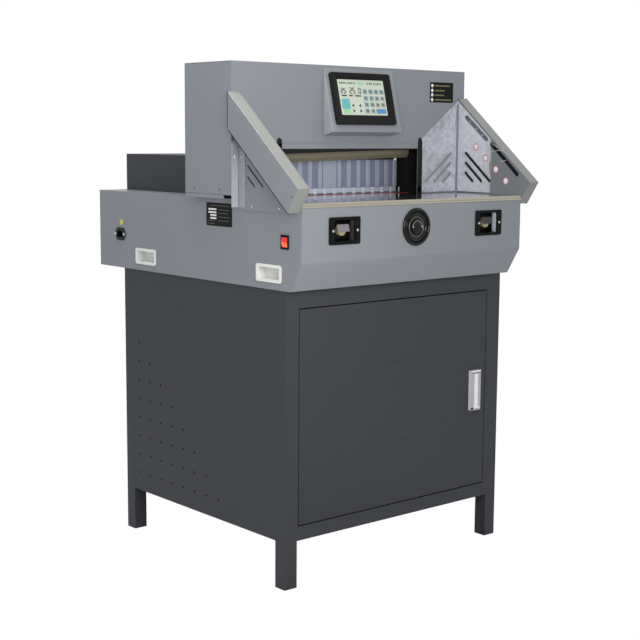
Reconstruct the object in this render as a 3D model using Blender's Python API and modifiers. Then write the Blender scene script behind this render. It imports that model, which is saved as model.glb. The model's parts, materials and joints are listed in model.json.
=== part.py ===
"""Electric paper cutter on a steel stand, modelled as separate pieces.

Run with: blender --background --python part.py
Metres, +Z up. The operator stands at -Y and +X is at the operator's right.
The origin is on the floor, under the middle of the machine.
"""

import math

import bmesh
import bpy
from mathutils import Matrix, Vector

# Clearances
GAP = 0.0003
OVERRUN = 0.010
MERGE = 0.00002
UNIT = 1.0
HALF = 0.5

# Overall
HEAD_TOP = 1.223
HEAD_WIDTH = 0.7748
HEAD_HEIGHT = 0.318
HEAD_OVERHANG = 0.0234
BODY_HEIGHT = 0.201
BODY_FRONT = -0.410
BODY_REAR_LEDGE = 0.0215
CASING_SHEET = 0.002

# Stand
STAND_INSET = 0.004
STAND_FRONT = -0.350
STAND_REAR_INSET = 0.1135
LEG_SIZE = 0.036
STAND_SKIRT = 0.113
BOTTOM_RAIL_HEIGHT = 0.034
TOP_RAIL_HEIGHT = 0.042
RAIL_DEPTH = 0.024
STAND_SHEET = 0.0015
PERFORATION_RADIUS = 0.003
PERFORATION_PITCH_SHARE = 0.0846
PERFORATION_ROWS = 8
PERFORATION_INSET = 0.064
PERFORATION_RISE = 0.049
PERFORATION_SIDES = 8

# Cabinet door
DOOR_LEFT_STRIP = 0.0055
DOOR_RIGHT_STRIP = 0.0145
DOOR_RAIL_GAP = 0.003
DOOR_DEPTH = 0.018
DOOR_STILE_STRIP = 0.0025
PIVOT_INSET = 0.005
PIVOT_RADIUS = 0.0025
PIVOT_REACH = 0.010
PIVOT_SIDES = 16
CREASE_HALF_LENGTH = 0.099
CREASE_MIDDLE = 0.009
CREASE_SHARES = (0.7038, 0.3106)
CREASE_WIDTH = 0.0045
CREASE_DEPTH = 0.0006
HANDLE_INSET = 0.046
HANDLE_RISE_SHARE = 0.4964
HANDLE_WIDTH = 0.044
HANDLE_HEIGHT = 0.114
HANDLE_PLATE = 0.003
HANDLE_STAND_OFF = 0.015
HANDLE_GRIP_WIDTH = 0.024
HANDLE_WALL = 0.004
HANDLE_ROUND = 0.006

# Body casing
BEVEL_HEIGHT = 0.066
BEVEL_DEPTH = 0.039
FRONT_FLANGE = 0.026
TRIM_HEIGHT = 0.011
TRIM_PROUD = 0.0015
TABLE_THICKNESS = 0.011
TABLE_ARM_GAP = 0.0045
STICK_SET_BACK = 0.002
STICK_WIDTH = 0.012
STICK_DEPTH = 0.008

# Machine base
BASE_THICKNESS = 0.008
SUPPORT_THICKNESS = 0.014
SUPPORT_FRONT = -0.340
SUPPORT_SLOT_GAP = 0.005
SUPPORT_INSET = 0.024

# Head
HEAD_FRONT = -0.182
HEAD_REAR = 0.004
HEAD_SIDE_RISE = 0.009
HEAD_SHEET = 0.002

# Work opening in the head's front cover
OPENING_LEFT_INSET = 0.0904
OPENING_RIGHT_INSET = 0.1628
OPENING_SLOT_WIDTH = 0.012
OPENING_SLOT_RISE = 0.145
LINTEL_RISE = 0.1165
LINTEL_FOLD_HEIGHT = 0.0155
LINTEL_FOLD_DEPTH = 0.0012
ARC_SIDES = 8

# Frame casting
COLUMN_INSET = 0.0294
COLUMN_LEFT_INSET = 0.0814
COLUMN_RIGHT_SHARE = 0.6159
COLUMN_FRONT = -0.118
COLUMN_REAR = -0.030
COLUMN_HEADROOM = 0.033
CROSS_BEAM_FRONT = -0.134
CROSS_BEAM_RISE = 0.170
CROSS_BEAM_HEIGHT = 0.030

# Knife and its path
KNIFE_PIVOT_INSET = 0.0289
KNIFE_PIVOT_RISE = 0.180
KNIFE_EDGE_RISE = 0.07875
KNIFE_OVERCUT = 0.0005
KNIFE_SIDE_SHIFT = 0.030
KNIFE_TILT = math.radians(1.4034)
BLADE_FRONT = -0.1457
BLADE_THICKNESS = 0.008
BLADE_HEIGHT = 0.112
BLADE_LEFT_INSET = 0.0624
BLADE_RIGHT_INSET = 0.1694
BLADE_BEVEL = 0.010
BLADE_EDGE = 0.0008
BEAM_FRONT = -0.172
BEAM_BACK = -0.146
BEAM_LEFT_INSET = 0.0089
BEAM_RIGHT_INSET = 0.0844
BEAM_ABOVE_EDGE = 0.022
BEAM_HEIGHT = 0.145
BEAM_CHAMFER = 0.003
BOLT_COUNT = 8
BOLT_HEAD_RADIUS = 0.008
BOLT_HEAD_HEIGHT = 0.0035
BOLT_HEIGHT = 0.072
BOLT_SIDES = 12

# Knife guides
GUIDE_THICKNESS = 0.016
GUIDE_MARGIN = 0.0085
SHOE_WIDTH = 0.020
SHOE_LENGTH = 0.026
SHOE_PIN_RADIUS = 0.007
SHOE_PIN_SIDES = 24
GUIDE_BLOCK_SHARE = 0.6918
GUIDE_BLOCK_RISE = 0.026
KEY_REACH = 0.013
GUIDE_SLOT_CLEARANCE = 0.0014

# Crank and pull arm
CRANK_SHARE = 0.4259
CRANK_SWING = math.radians(90)
CRANK_RIM = 0.014
CRANK_THICKNESS = 0.012
CRANK_BACK = -0.138
CRANK_PIN_RADIUS = 0.008
CRANK_PIN_FRONT = -0.172
CRANK_SIDES = 32
CRANK_SHAFT_RADIUS = 0.014
ARM_SHARE = 0.6144
ARM_WIDTH = 0.040
ARM_FRONT = -0.168
ARM_BACK = -0.154
YOKE_WALL = 0.013
YOKE_CLEARANCE = 0.0034
YOKE_BELOW_TABLE = 0.048
CRANK_SHAFT_LENGTH = 0.028
PIN_STEPS = 24
GEARBOX_WIDTH = 0.100
GEARBOX_LENGTH = 0.090
MOTOR_RADIUS = 0.048
MOTOR_LENGTH = 0.190
MOTOR_SIDES = 24

# Clamp
CLAMP_LEFT_INSET = 0.0874
CLAMP_RIGHT_INSET = 0.1614
CLAMP_FRONT = -0.1367
CLAMP_DEPTH = 0.0285
CLAMP_RISE = 0.095
CLAMP_HEIGHT = 0.062
ROD_RADIUS = 0.008
ROD_END_INSET = 0.063
ROD_HEADROOM = 0.0035
ROD_SIDES = 16
CLAMP_SCREW_RADIUS = 0.009
CLAMP_NUT_RADIUS = 0.0125
CLAMP_NUT_HEIGHT = 0.020
CLAMP_DRIVE_WIDTH = 0.072
CLAMP_DRIVE_DEPTH = 0.090
CLAMP_DRIVE_HEIGHT = 0.050
CLAMP_MOTOR_RADIUS = 0.024
CLAMP_CHAMFER = 0.002

# Back gauge
FENCE_FRONT = -0.104
FENCE_LEFT_INSET = 0.1064
FENCE_RIGHT_INSET = 0.1744
FENCE_HEIGHT = 0.0865
FENCE_LIFT = 0.0008
FENCE_BACK_SHEET = 0.006
FENCE_RIB_DEPTH = 0.010
FENCE_RIB_SHARE = 0.62
FENCE_RIB_COUNT = 15
FENCE_LIP_HEIGHT = 0.015
FENCE_LIP_PROUD = 0.0005
GAUGE_TRAVEL = 0.430
GAUGE_ARM_WIDTH = 0.014
GAUGE_SLOT_WIDTH = 0.018
GAUGE_RAIL_RADIUS = 0.009
GAUGE_RAIL_SPREAD = 0.055
GAUGE_AXIS_DROP = 0.055
GAUGE_BLOCK_HALF = 0.080
GAUGE_BLOCK_HEIGHT = 0.044
GAUGE_BLOCK_DEPTH = 0.040
GAUGE_RUNNING_GAP = 0.0004
LEAD_SCREW_RADIUS = 0.008
COUPLER_RADIUS = 0.014
COUPLER_LENGTH = 0.018
GAUGE_MOTOR_SIZE = 0.057
GAUGE_MOTOR_FRONT = -0.1903
GAUGE_MOTOR_BACK = -0.1330
GAUGE_ARM_FRONT = -0.0877
GAUGE_ARM_BACK = -0.047
GAUGE_SLOT_SPARE = 0.007
BEARING_FRONT = -0.110
BEARING_HALF = 0.085
MOTOR_CHAMFER = 0.003

# Rear guard
REAR_GUARD_INSET = 0.0959
REAR_GUARD_RISE = 0.096
REAR_GUARD_ROOM = 0.013
REAR_GUARD_SHEET = 0.0015
TABLE_REAR_INSET = 0.1024
TABLE_REAR_MARGIN = 0.015

# Guards
ARM_THICKNESS = 0.032
ARM_WALL = 0.002
ARM_TOP_REAR_RISE = 0.249
ARM_LOW_REAR_RISE = 0.1626
ARM_TOP_FRONT_RISE = 0.0336
ARM_LOW_FRONT_DROP = 0.0222
ARM_REACH = 0.0295
ARM_SET_BACK = 0.007
SIDE_GUARD_SHEET = 0.002
SIDE_GUARD_DROP = 0.025
LOUVRE_SLOT_WIDTH = 0.0045
WINDOW_WIDTH = 0.0125
CORNER_SHEET = 0.0015
CORNER_TOP_RISE = 0.243
CORNER_FRONT_INSET = 0.1543
CORNER_FRONT_RISE = 0.1436
CORNER_SIDE_END = -0.309
CORNER_FOOT_RISE = 0.003
ANGLE_LEG = 0.026
ANGLE_DROP = 0.018
ANGLE_RISE = 0.147
ANGLE_SLANT = 0.018
CURTAIN_DEPTH = 0.018
CURTAIN_WIDTH = 0.022
# Ends of the slots in the side plates, as pairs of Y and rise above the table
LOUVRE_ENDS = (((-0.2166, 0.1047), (-0.3030, 0.0334)), ((-0.2174, 0.0786), (-0.2730, 0.0325)),
               ((-0.2171, 0.0527), (-0.2420, 0.0315)))
WINDOW_ENDS = (((-0.2163, 0.1977), (-0.2883, 0.1413)), ((-0.3065, 0.1283), (-0.3944, 0.0531)))
# Ends of the slots beside the opening, as pairs of inset from the body's side and rise above the table
FRONT_LOUVRE_ENDS = (((0.0246, 0.1035), (0.1185, 0.0307)), ((0.0266, 0.0781), (0.0854, 0.0301)),
                     ((0.0258, 0.0511), (0.0518, 0.0295)))

# Display pod
POD_LEFT = -0.109
POD_RIGHT = 0.122
POD_HEADROOM = 0.0052
POD_FOOT_RISE = 0.157
POD_UNDERCUT = 0.009
POD_FOOT_DEPTH = 0.039
POD_ROUND = 0.003
BEZEL_WIDTH = 0.200
BEZEL_HEIGHT = 0.130
BEZEL_X = 0.003
BEZEL_DEPTH = 0.006
BEZEL_CENTRE_SHARE = 0.483
SCREEN_WIDTH = 0.1535
SCREEN_HEIGHT = 0.0895
SCREEN_RISE = 0.004
SCREEN_THICKNESS = 0.002

# Handwheel
WHEEL_X = -0.009
WHEEL_DROP = 0.0655
WHEEL_RADIUS = 0.0355
WHEEL_PROUD = 0.008
WHEEL_RIM_DEPTH = 0.012
WHEEL_BOSS_RADIUS = 0.020
WHEEL_SHAFT_RADIUS = 0.006
WHEEL_SHAFT_LENGTH = 0.012
WHEEL_SIDES = 40
DISH_RADIUS = 0.0455
DISH_PROUD = 0.005
DISH_DEPTH = 0.026
DISH_CLEARANCE = 0.002
DISH_WALL = 0.003
# The handwheel's face as shares of its radius and of how far its dome stands out, from the middle to the rim
WHEEL_FACE_SHARES = ((0, 1), (0.18, 0.96), (0.34, 0.80), (0.45, 0.50), (0.50, 0.10), (0.60, -0.15),
                     (0.65, 0.20), (0.69, 0.26), (0.73, 0.02), (0.86, 0.05), (0.93, 0.34), (0.98, 0.40),
                     (1, 0.22))

# Two-hand cut stations
STATION_WIDTH = 0.0945
STATION_HEIGHT = 0.063
STATION_LEFT_INSET = 0.126
STATION_RIGHT_INSET = 0.1217
STATION_DROP = 0.065
STATION_FLANGE = 0.003
STATION_BODY_WIDTH = 0.070
STATION_BODY_HEIGHT = 0.057
STATION_DEPTH = 0.026
STATION_WALL = 0.003
STATION_MOUTH_WIDTH = 0.063
STATION_MOUTH_HEIGHT = 0.050
STATION_THROAT_SHARE = 0.74
STATION_CORNER = 0.005
BUTTON_RADIUS = 0.0125
BUTTON_HEIGHT = 0.011
BUTTON_STROKE = 0.004
BUTTON_STEM = 0.005
BUTTON_SIDES = 24

# Power switch and inlet
SWITCH_Y = -0.3525
SWITCH_DROP = 0.089
SWITCH_WIDTH = 0.0275
SWITCH_HEIGHT = 0.0325
SWITCH_PROUD = 0.0025
SWITCH_DEPTH = 0.022
SWITCH_BODY_WIDTH = 0.0235
SWITCH_BODY_HEIGHT = 0.0285
SWITCH_WALL = 0.003
ROCKER_SWING = math.radians(7)
ROCKER_GAP = 0.0007
ROCKER_REACH = 0.0035
ROCKER_ROOT_SHARE = 0.55
INLET_REAR_INSET = 0.1035
INLET_DROP = 0.112
INLET_WIDTH = 0.050
INLET_HEIGHT = 0.033
INLET_PROUD = 0.003
INLET_DEPTH = 0.028
INLET_BODY_WIDTH = 0.0275
INLET_BODY_HEIGHT = 0.0225
INLET_MOUTH_WIDTH = 0.0235
INLET_MOUTH_HEIGHT = 0.0160
INLET_MOUTH_DEPTH = 0.021
INLET_CUT = 0.005
INLET_PIN_WIDTH = 0.002
INLET_PIN_HEIGHT = 0.004
INLET_PIN_SPREAD = 0.007
INLET_PIN_STAGGER = 0.004
INLET_PIN_LENGTH = 0.0145

# Flush carry handles
CARRY_FRONT_Y = -0.294
CARRY_REAR_INSET = 0.2235
CARRY_RISE = 0.037
CARRY_WIDTH = 0.093
CARRY_HEIGHT = 0.041
CARRY_BODY_WIDTH = 0.083
CARRY_BODY_HEIGHT = 0.031
CARRY_PROUD = 0.0025
CARRY_DEPTH = 0.022
CARRY_WALL = 0.002
CARRY_CORNER = 0.006

# Heights worked out from the sizes above, down from the head's top
TABLE_TOP = HEAD_TOP - HEAD_HEIGHT
TABLE_UNDER = TABLE_TOP - TABLE_THICKNESS
BODY_BOTTOM = TABLE_TOP - BODY_HEIGHT
BASE_TOP = BODY_BOTTOM + BASE_THICKNESS
BEVEL_TOP = BODY_BOTTOM + BEVEL_HEIGHT
CARRY_Z = BODY_BOTTOM + CARRY_RISE
STAND_TOP = BODY_BOTTOM - GAP
DOOR_BOTTOM = STAND_SKIRT + BOTTOM_RAIL_HEIGHT + DOOR_RAIL_GAP
DOOR_TOP = STAND_TOP - TOP_RAIL_HEIGHT - DOOR_RAIL_GAP
HANDLE_Z = DOOR_BOTTOM + (DOOR_TOP - DOOR_BOTTOM) * HANDLE_RISE_SHARE
PERFORATION_PITCH = (STAND_TOP - STAND_SKIRT) * PERFORATION_PITCH_SHARE
PERFORATION_BOTTOM = STAND_SKIRT + PERFORATION_RISE
WHEEL_Z = TABLE_TOP - WHEEL_DROP
STATION_Z = TABLE_TOP - STATION_DROP
SWITCH_Z = TABLE_TOP - SWITCH_DROP
INLET_Z = TABLE_TOP - INLET_DROP
GAUGE_AXIS_Z = TABLE_TOP - GAUGE_AXIS_DROP
SIDE_GUARD_BOTTOM = TABLE_TOP - SIDE_GUARD_DROP
ANGLE_BOTTOM = TABLE_TOP - ANGLE_DROP
ANGLE_TOP = TABLE_TOP + ANGLE_RISE
ARM_LOW_FRONT_Z = TABLE_TOP - ARM_LOW_FRONT_DROP
ARM_TOP_FRONT_Z = TABLE_TOP + ARM_TOP_FRONT_RISE
ARM_LOW_REAR_Z = TABLE_TOP + ARM_LOW_REAR_RISE
ARM_TOP_REAR_Z = TABLE_TOP + ARM_TOP_REAR_RISE
CORNER_BOTTOM = TABLE_TOP + CORNER_FOOT_RISE
CORNER_FRONT_Z = TABLE_TOP + CORNER_FRONT_RISE
CORNER_TOP_Z = TABLE_TOP + CORNER_TOP_RISE
REAR_GUARD_TOP = TABLE_TOP + REAR_GUARD_RISE
HEAD_SIDE_BOTTOM = TABLE_TOP + HEAD_SIDE_RISE
OPENING_LINTEL = TABLE_TOP + LINTEL_RISE
OPENING_SLOT_TOP = TABLE_TOP + OPENING_SLOT_RISE
POD_TOP = HEAD_TOP - POD_HEADROOM
POD_FOOT = TABLE_TOP + POD_FOOT_RISE
POD_FOOT_BACK = POD_FOOT - POD_UNDERCUT
KNIFE_EDGE_END = TABLE_TOP - KNIFE_OVERCUT
KNIFE_EDGE_REST = TABLE_TOP + KNIFE_EDGE_RISE
KNIFE_PIVOT_Z = TABLE_TOP + KNIFE_PIVOT_RISE
CROSS_BEAM_BOTTOM = TABLE_TOP + CROSS_BEAM_RISE
CROSS_BEAM_TOP = CROSS_BEAM_BOTTOM + CROSS_BEAM_HEIGHT
COLUMN_TOP = HEAD_TOP - COLUMN_HEADROOM
CLAMP_BOTTOM = TABLE_TOP + CLAMP_RISE
ROD_TOP = HEAD_TOP - ROD_HEADROOM

# Places across the machine, in from the head's sides
HEAD_HALF = HEAD_WIDTH / 2
BODY_HALF = HEAD_HALF - HEAD_OVERHANG
BODY_INNER = BODY_HALF - CASING_SHEET
STAND_HALF = BODY_HALF - STAND_INSET
DOOR_LEFT = LEG_SIZE + DOOR_LEFT_STRIP - STAND_HALF
DOOR_RIGHT = STAND_HALF - LEG_SIZE - DOOR_RIGHT_STRIP
HANDLE_X = DOOR_RIGHT - HANDLE_INSET
SUPPORT_HALF_WIDTH = BODY_HALF - SUPPORT_INSET
STATION_LEFT_X = STATION_LEFT_INSET - BODY_HALF
STATION_RIGHT_X = BODY_HALF - STATION_RIGHT_INSET
OPENING_LEFT = OPENING_LEFT_INSET - HEAD_HALF
OPENING_RIGHT = HEAD_HALF - OPENING_RIGHT_INSET
CORNER_FRONT_X = HEAD_HALF - CORNER_FRONT_INSET
REAR_GUARD_HALF = HEAD_HALF - REAR_GUARD_INSET
TABLE_REAR_HALF = HEAD_HALF - TABLE_REAR_INSET
COLUMN_OUTER = HEAD_HALF - COLUMN_INSET
COLUMN_LEFT_INNER = COLUMN_LEFT_INSET - HEAD_HALF
COLUMN_RIGHT_INNER = HEAD_HALF * COLUMN_RIGHT_SHARE
KNIFE_PIVOT_X = KNIFE_PIVOT_INSET - HEAD_HALF
BLADE_LEFT = BLADE_LEFT_INSET - HEAD_HALF
BLADE_RIGHT = HEAD_HALF - BLADE_RIGHT_INSET
BEAM_LEFT = BEAM_LEFT_INSET - HEAD_HALF
BEAM_RIGHT = HEAD_HALF - BEAM_RIGHT_INSET
GUIDE_BLOCK_X = HEAD_HALF * GUIDE_BLOCK_SHARE
ARM_LEFT = HEAD_HALF * ARM_SHARE
CRANK_X = HEAD_HALF * CRANK_SHARE
CLAMP_LEFT = CLAMP_LEFT_INSET - HEAD_HALF
CLAMP_RIGHT = HEAD_HALF - CLAMP_RIGHT_INSET
ROD_OFFSET = (CLAMP_RIGHT - CLAMP_LEFT) / 2 - ROD_END_INSET
FENCE_LEFT = FENCE_LEFT_INSET - HEAD_HALF
FENCE_RIGHT = HEAD_HALF - FENCE_RIGHT_INSET

# Depths, back from the panel's face and from the end of the gauge's slot
BEVEL_FOOT = BODY_FRONT + BEVEL_DEPTH
ARM_FRONT_TIP = BODY_FRONT - ARM_REACH
ARM_LOW_FRONT_Y = BODY_FRONT + ARM_SET_BACK
GAUGE_SLOT_END = GAUGE_ARM_BACK + GAUGE_TRAVEL + GAUGE_SLOT_SPARE
SUPPORT_REAR = GAUGE_SLOT_END + SUPPORT_SLOT_GAP
TABLE_REAR_END = GAUGE_SLOT_END + TABLE_REAR_MARGIN
REAR_GUARD_END = TABLE_REAR_END + REAR_GUARD_ROOM
BODY_REAR = REAR_GUARD_END + BODY_REAR_LEDGE
STAND_REAR = BODY_REAR - STAND_REAR_INSET
INLET_Y = BODY_REAR - INLET_REAR_INSET
CARRY_REAR_Y = BODY_REAR - CARRY_REAR_INSET
PERFORATION_REAR = STAND_REAR - PERFORATION_INSET
BLADE_BACK = BLADE_FRONT + BLADE_THICKNESS

# Other sizes worked out from those above
DISH_POT_RADIUS = WHEEL_RADIUS + DISH_CLEARANCE
KNIFE_DROP = KNIFE_EDGE_REST - KNIFE_EDGE_END
KNIFE_STROKE = math.hypot(KNIFE_SIDE_SHIFT, KNIFE_DROP)
PATH_ANGLE = math.atan2(KNIFE_SIDE_SHIFT, KNIFE_DROP)
GUIDE_FRONT = COLUMN_FRONT - GAP - GUIDE_THICKNESS
CRANK_DROP = KNIFE_DROP + math.sin(KNIFE_TILT) * (CRANK_X + ARM_WIDTH - KNIFE_PIVOT_X)
CRANK_RADIUS = CRANK_DROP / (2 * math.sin(CRANK_SWING / 2))
YOKE_REST_Z = TABLE_UNDER - YOKE_BELOW_TABLE
CRANK_Z = YOKE_REST_Z - CRANK_DROP / 2
CLAMP_MIDDLE_X = (CLAMP_LEFT + CLAMP_RIGHT) / 2
CLAMP_MIDDLE_Y = CLAMP_FRONT + CLAMP_DEPTH / 2
ARM_OUTER = BODY_HALF + GAP + SIDE_GUARD_SHEET + GAP + ARM_THICKNESS
POD_TILT = math.atan2(POD_FOOT_DEPTH, POD_TOP - POD_FOOT)


# Colours, roughness and metallic value of each finish
GREY_PAINT = ((0.27, 0.285, 0.31), 0.45, 0.0)
DARK_PAINT = ((0.055, 0.06, 0.068), 0.5, 0.0)
PALE_METAL = ((0.62, 0.58, 0.50), 0.35, 0.8)
STEEL = ((0.55, 0.56, 0.58), 0.3, 1.0)
GALVANISED = ((0.60, 0.63, 0.68), 0.35, 0.9)
CAST = ((0.20, 0.22, 0.23), 0.55, 0.3)
BLACK_PLASTIC = ((0.012, 0.012, 0.013), 0.35, 0.0)
WHITE_PLASTIC = ((0.80, 0.79, 0.74), 0.4, 0.0)
ALUMINIUM = ((0.66, 0.70, 0.76), 0.3, 0.9)
RED_PLASTIC = ((0.75, 0.05, 0.03), 0.3, 0.0)
SCREEN_GLASS = ((0.62, 0.72, 0.66), 0.15, 0.0)
BUTTON_GREEN = ((0.45, 0.50, 0.20), 0.4, 0.0)
MOTOR_PAINT = ((0.10, 0.12, 0.14), 0.5, 0.2)


def new_collection(name):
    """Make a collection under the scene and return it."""
    made = bpy.data.collections.new(name)
    bpy.context.scene.collection.children.link(made)
    return made


def clear_scene():
    """Remove every object of the scene."""
    for obj in list(bpy.context.scene.objects):
        bpy.data.objects.remove(obj, do_unlink=True)


clear_scene()
PARTS = new_collection("electric_paper_cutter")
CUTTERS = new_collection("cutters")


def file_under(obj, group):
    """Keep the object in one collection only."""
    for old in list(obj.users_collection):
        old.objects.unlink(obj)
    group.objects.link(obj)
    return obj


def finish(obj, look):
    """Give the piece a Principled material of its own."""
    colour, roughness, metallic = look
    material = bpy.data.materials.new(obj.name)
    material.use_nodes = True
    shader = material.node_tree.nodes["Principled BSDF"]
    shader.inputs["Base Color"].default_value = (*colour, UNIT)
    shader.inputs["Roughness"].default_value = roughness
    shader.inputs["Metallic"].default_value = metallic
    material.diffuse_color = (*colour, UNIT)
    obj.data.materials.clear()
    obj.data.materials.append(material)
    return obj


def named(obj, name):
    """Name the object and its mesh, and file it with the parts."""
    obj.name = name
    obj.data.name = name
    return file_under(obj, PARTS)


def apply_scale(obj):
    """Write the object's scale into its mesh."""
    obj.data.transform(Matrix.Diagonal((*obj.scale, UNIT)))
    obj.scale = (UNIT, UNIT, UNIT)


def block(name, low, high):
    """A box between two corners."""
    middle = [(a + b) / 2 for a, b in zip(low, high)]
    bpy.ops.mesh.primitive_cube_add(size=UNIT, location=middle)
    obj = bpy.context.object
    obj.scale = [b - a for a, b in zip(low, high)]
    apply_scale(obj)
    return named(obj, name)


def rod(name, start, end, radius, sides, radius_end=None):
    """A cylinder or cone between two points on a line along X, Y or Z."""
    start, end = Vector(start), Vector(end)
    along = end - start
    last = radius if radius_end is None else radius_end
    bpy.ops.mesh.primitive_cone_add(
        vertices=sides, radius1=radius, radius2=last, depth=along.length, location=(start + end) / 2
    )
    obj = bpy.context.object
    obj.rotation_euler = along.to_track_quat("Z", "Y").to_euler()
    obj.data.shade_smooth()
    obj.data.set_sharp_from_angle(angle=math.radians(35))
    return named(obj, name)


FACE_TURN = {
    "X": (math.pi / 2, 0, math.pi / 2),
    "Y": (math.pi / 2, 0, 0),
    "Z": (0, 0, 0),
}


def sheet(name, loops, face, low, high):
    """A flat piece cut to outlines, the first outside and the rest holes, thick along one axis.

    Outlines are pairs of (Y, Z) for face X, (X, Z) for face Y and (X, Y) for face Z.
    """
    outside = loops[0]
    middle_a = (min(p[0] for p in outside) + max(p[0] for p in outside)) / 2
    middle_b = (min(p[1] for p in outside) + max(p[1] for p in outside)) / 2
    curve = bpy.data.curves.new(name, "CURVE")
    curve.dimensions = "2D"
    curve.fill_mode = "BOTH"
    curve.extrude = (high - low) / 2
    for loop in loops:
        spline = curve.splines.new("POLY")
        spline.points.add(len(loop) - 1)
        for point, (a, b) in zip(spline.points, loop):
            point.co = (a - middle_a, b - middle_b, 0, UNIT)
        spline.use_cyclic_u = True
    drawn = bpy.data.objects.new(name + "_outline", curve)
    bpy.context.scene.collection.objects.link(drawn)
    bpy.context.view_layer.update()
    mesh = bpy.data.meshes.new_from_object(drawn.evaluated_get(bpy.context.evaluated_depsgraph_get()))
    bpy.data.objects.remove(drawn, do_unlink=True)
    made = bmesh.new()
    made.from_mesh(mesh)
    bmesh.ops.remove_doubles(made, verts=made.verts, dist=MERGE)
    bmesh.ops.recalc_face_normals(made, faces=made.faces)
    made.to_mesh(mesh)
    made.free()
    obj = bpy.data.objects.new(name, mesh)
    bpy.context.scene.collection.objects.link(obj)
    across = (low + high) / 2
    places = {
        "X": (across, middle_a, middle_b),
        "Y": (middle_a, across, middle_b),
        "Z": (middle_a, middle_b, across),
    }
    obj.location = places[face]
    obj.rotation_euler = FACE_TURN[face]
    return named(obj, name)


def folded(name, line, along, low, high, thickness):
    """A bent sheet: an open line of folds drawn along an axis, with its wall on the right of the line.

    The line is pairs of (Y, Z) when drawn along X, and (X, Z) when drawn along Y.
    """
    made = bmesh.new()
    rows = []
    for a, b in line:
        spots = ((low, a, b), (high, a, b)) if along == "X" else ((a, low, b), (a, high, b))
        rows.append([made.verts.new(spot) for spot in spots])
    made.verts.ensure_lookup_table()
    for before, after in zip(rows, rows[1:]):
        made.faces.new((before[0], before[1], after[1], after[0]))
    mesh = bpy.data.meshes.new(name)
    made.to_mesh(mesh)
    made.free()
    obj = bpy.data.objects.new(name, mesh)
    bpy.context.scene.collection.objects.link(obj)
    wall = obj.modifiers.new("wall", "SOLIDIFY")
    wall.thickness = thickness
    wall.offset = -UNIT if along == "X" else UNIT
    wall.use_even_offset = True
    return named(obj, name)


def tray(name, low, high, thickness, open_faces):
    """A box of sheet metal with its wall inside the box and some faces left open."""
    obj = block(name, low, high)
    made = bmesh.new()
    made.from_mesh(obj.data)
    made.faces.ensure_lookup_table()
    gone = [f for f in made.faces if any(f.normal.dot(Vector(way)) > HALF for way in open_faces)]
    bmesh.ops.delete(made, geom=gone, context="FACES")
    made.to_mesh(obj.data)
    made.free()
    wall = obj.modifiers.new("wall", "SOLIDIFY")
    wall.thickness = thickness
    wall.offset = -UNIT
    wall.use_even_offset = True
    return obj


def turned(name, profile, at, sides):
    """A turned piece on an axis along Y. The profile is pairs of radius and height towards the operator."""
    mesh = bpy.data.meshes.new(name)
    closed = profile[0][0] > 0
    edges = [(i, i + 1) for i in range(len(profile) - 1)]
    if closed:
        edges.append((len(profile) - 1, 0))
    mesh.from_pydata([(radius, 0, height) for radius, height in profile], edges, [])
    obj = bpy.data.objects.new(name, mesh)
    bpy.context.scene.collection.objects.link(obj)
    obj.location = at
    obj.rotation_euler = FACE_TURN["Y"]
    spin = obj.modifiers.new("turn", "SCREW")
    spin.steps = sides
    spin.render_steps = sides
    spin.use_merge_vertices = True
    spin.merge_threshold = MERGE
    return named(obj, name)


def combine(obj, tools, operation):
    """Cut or join other pieces with live Boolean modifiers, and keep the tools out of the model."""
    for tool in tools:
        file_under(tool, CUTTERS)
        tool.hide_render = True
        tool.display_type = "WIRE"
        step = obj.modifiers.new(tool.name, "BOOLEAN")
        step.operation = operation
        step.solver = "EXACT"
        step.object = tool
    return obj


def cut(obj, *tools):
    """Take the tools' space out of the piece."""
    return combine(obj, tools, "DIFFERENCE")


def unite(obj, *tools):
    """Weld or cast the tools onto the piece."""
    return combine(obj, tools, "UNION")


def group(name, pieces):
    """Keep like pieces in one object, as separate solids."""
    bpy.context.view_layer.update()
    graph = bpy.context.evaluated_depsgraph_get()
    made = bmesh.new()
    for piece in pieces:
        mesh = bpy.data.meshes.new_from_object(piece.evaluated_get(graph))
        mesh.transform(piece.matrix_world)
        made.from_mesh(mesh)
        bpy.data.meshes.remove(mesh)
    mesh = bpy.data.meshes.new(name)
    made.to_mesh(mesh)
    made.free()
    spare = set()
    for piece in pieces:
        spare.update(step.object for step in piece.modifiers if step.type == "BOOLEAN")
    for piece in pieces:
        bpy.data.objects.remove(piece, do_unlink=True)
    for tool in spare:
        bpy.data.objects.remove(tool, do_unlink=True)
    obj = bpy.data.objects.new(name, mesh)
    bpy.context.scene.collection.objects.link(obj)
    return named(obj, name)


def rounded(obj, width, segments):
    """Round or chamfer every edge of a plain piece."""
    bevel = obj.modifiers.new("rounding", "BEVEL")
    bevel.width = width
    bevel.segments = segments
    bevel.limit_method = "ANGLE"
    return obj


def axis_at(name, at):
    """An empty on a joint's axis, which carries the moving pieces."""
    empty = bpy.data.objects.new(name, None)
    empty.location = at
    PARTS.objects.link(empty)
    return empty


def hang(empty, *pieces):
    """Parent pieces, and the tools that shape them, to an empty that is not turned yet."""
    for piece in pieces:
        tools = [step.object for step in piece.modifiers if step.type == "BOOLEAN"]
        for each in [piece, *tools]:
            each.parent = empty
            each.location = Vector(each.location) - Vector(empty.location)


def circle(middle, radius, sides, start=0):
    """Points round a circle."""
    a, b = middle
    steps = [start + math.tau * i / sides for i in range(sides)]
    return [(a + radius * math.cos(t), b + radius * math.sin(t)) for t in steps]


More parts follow.
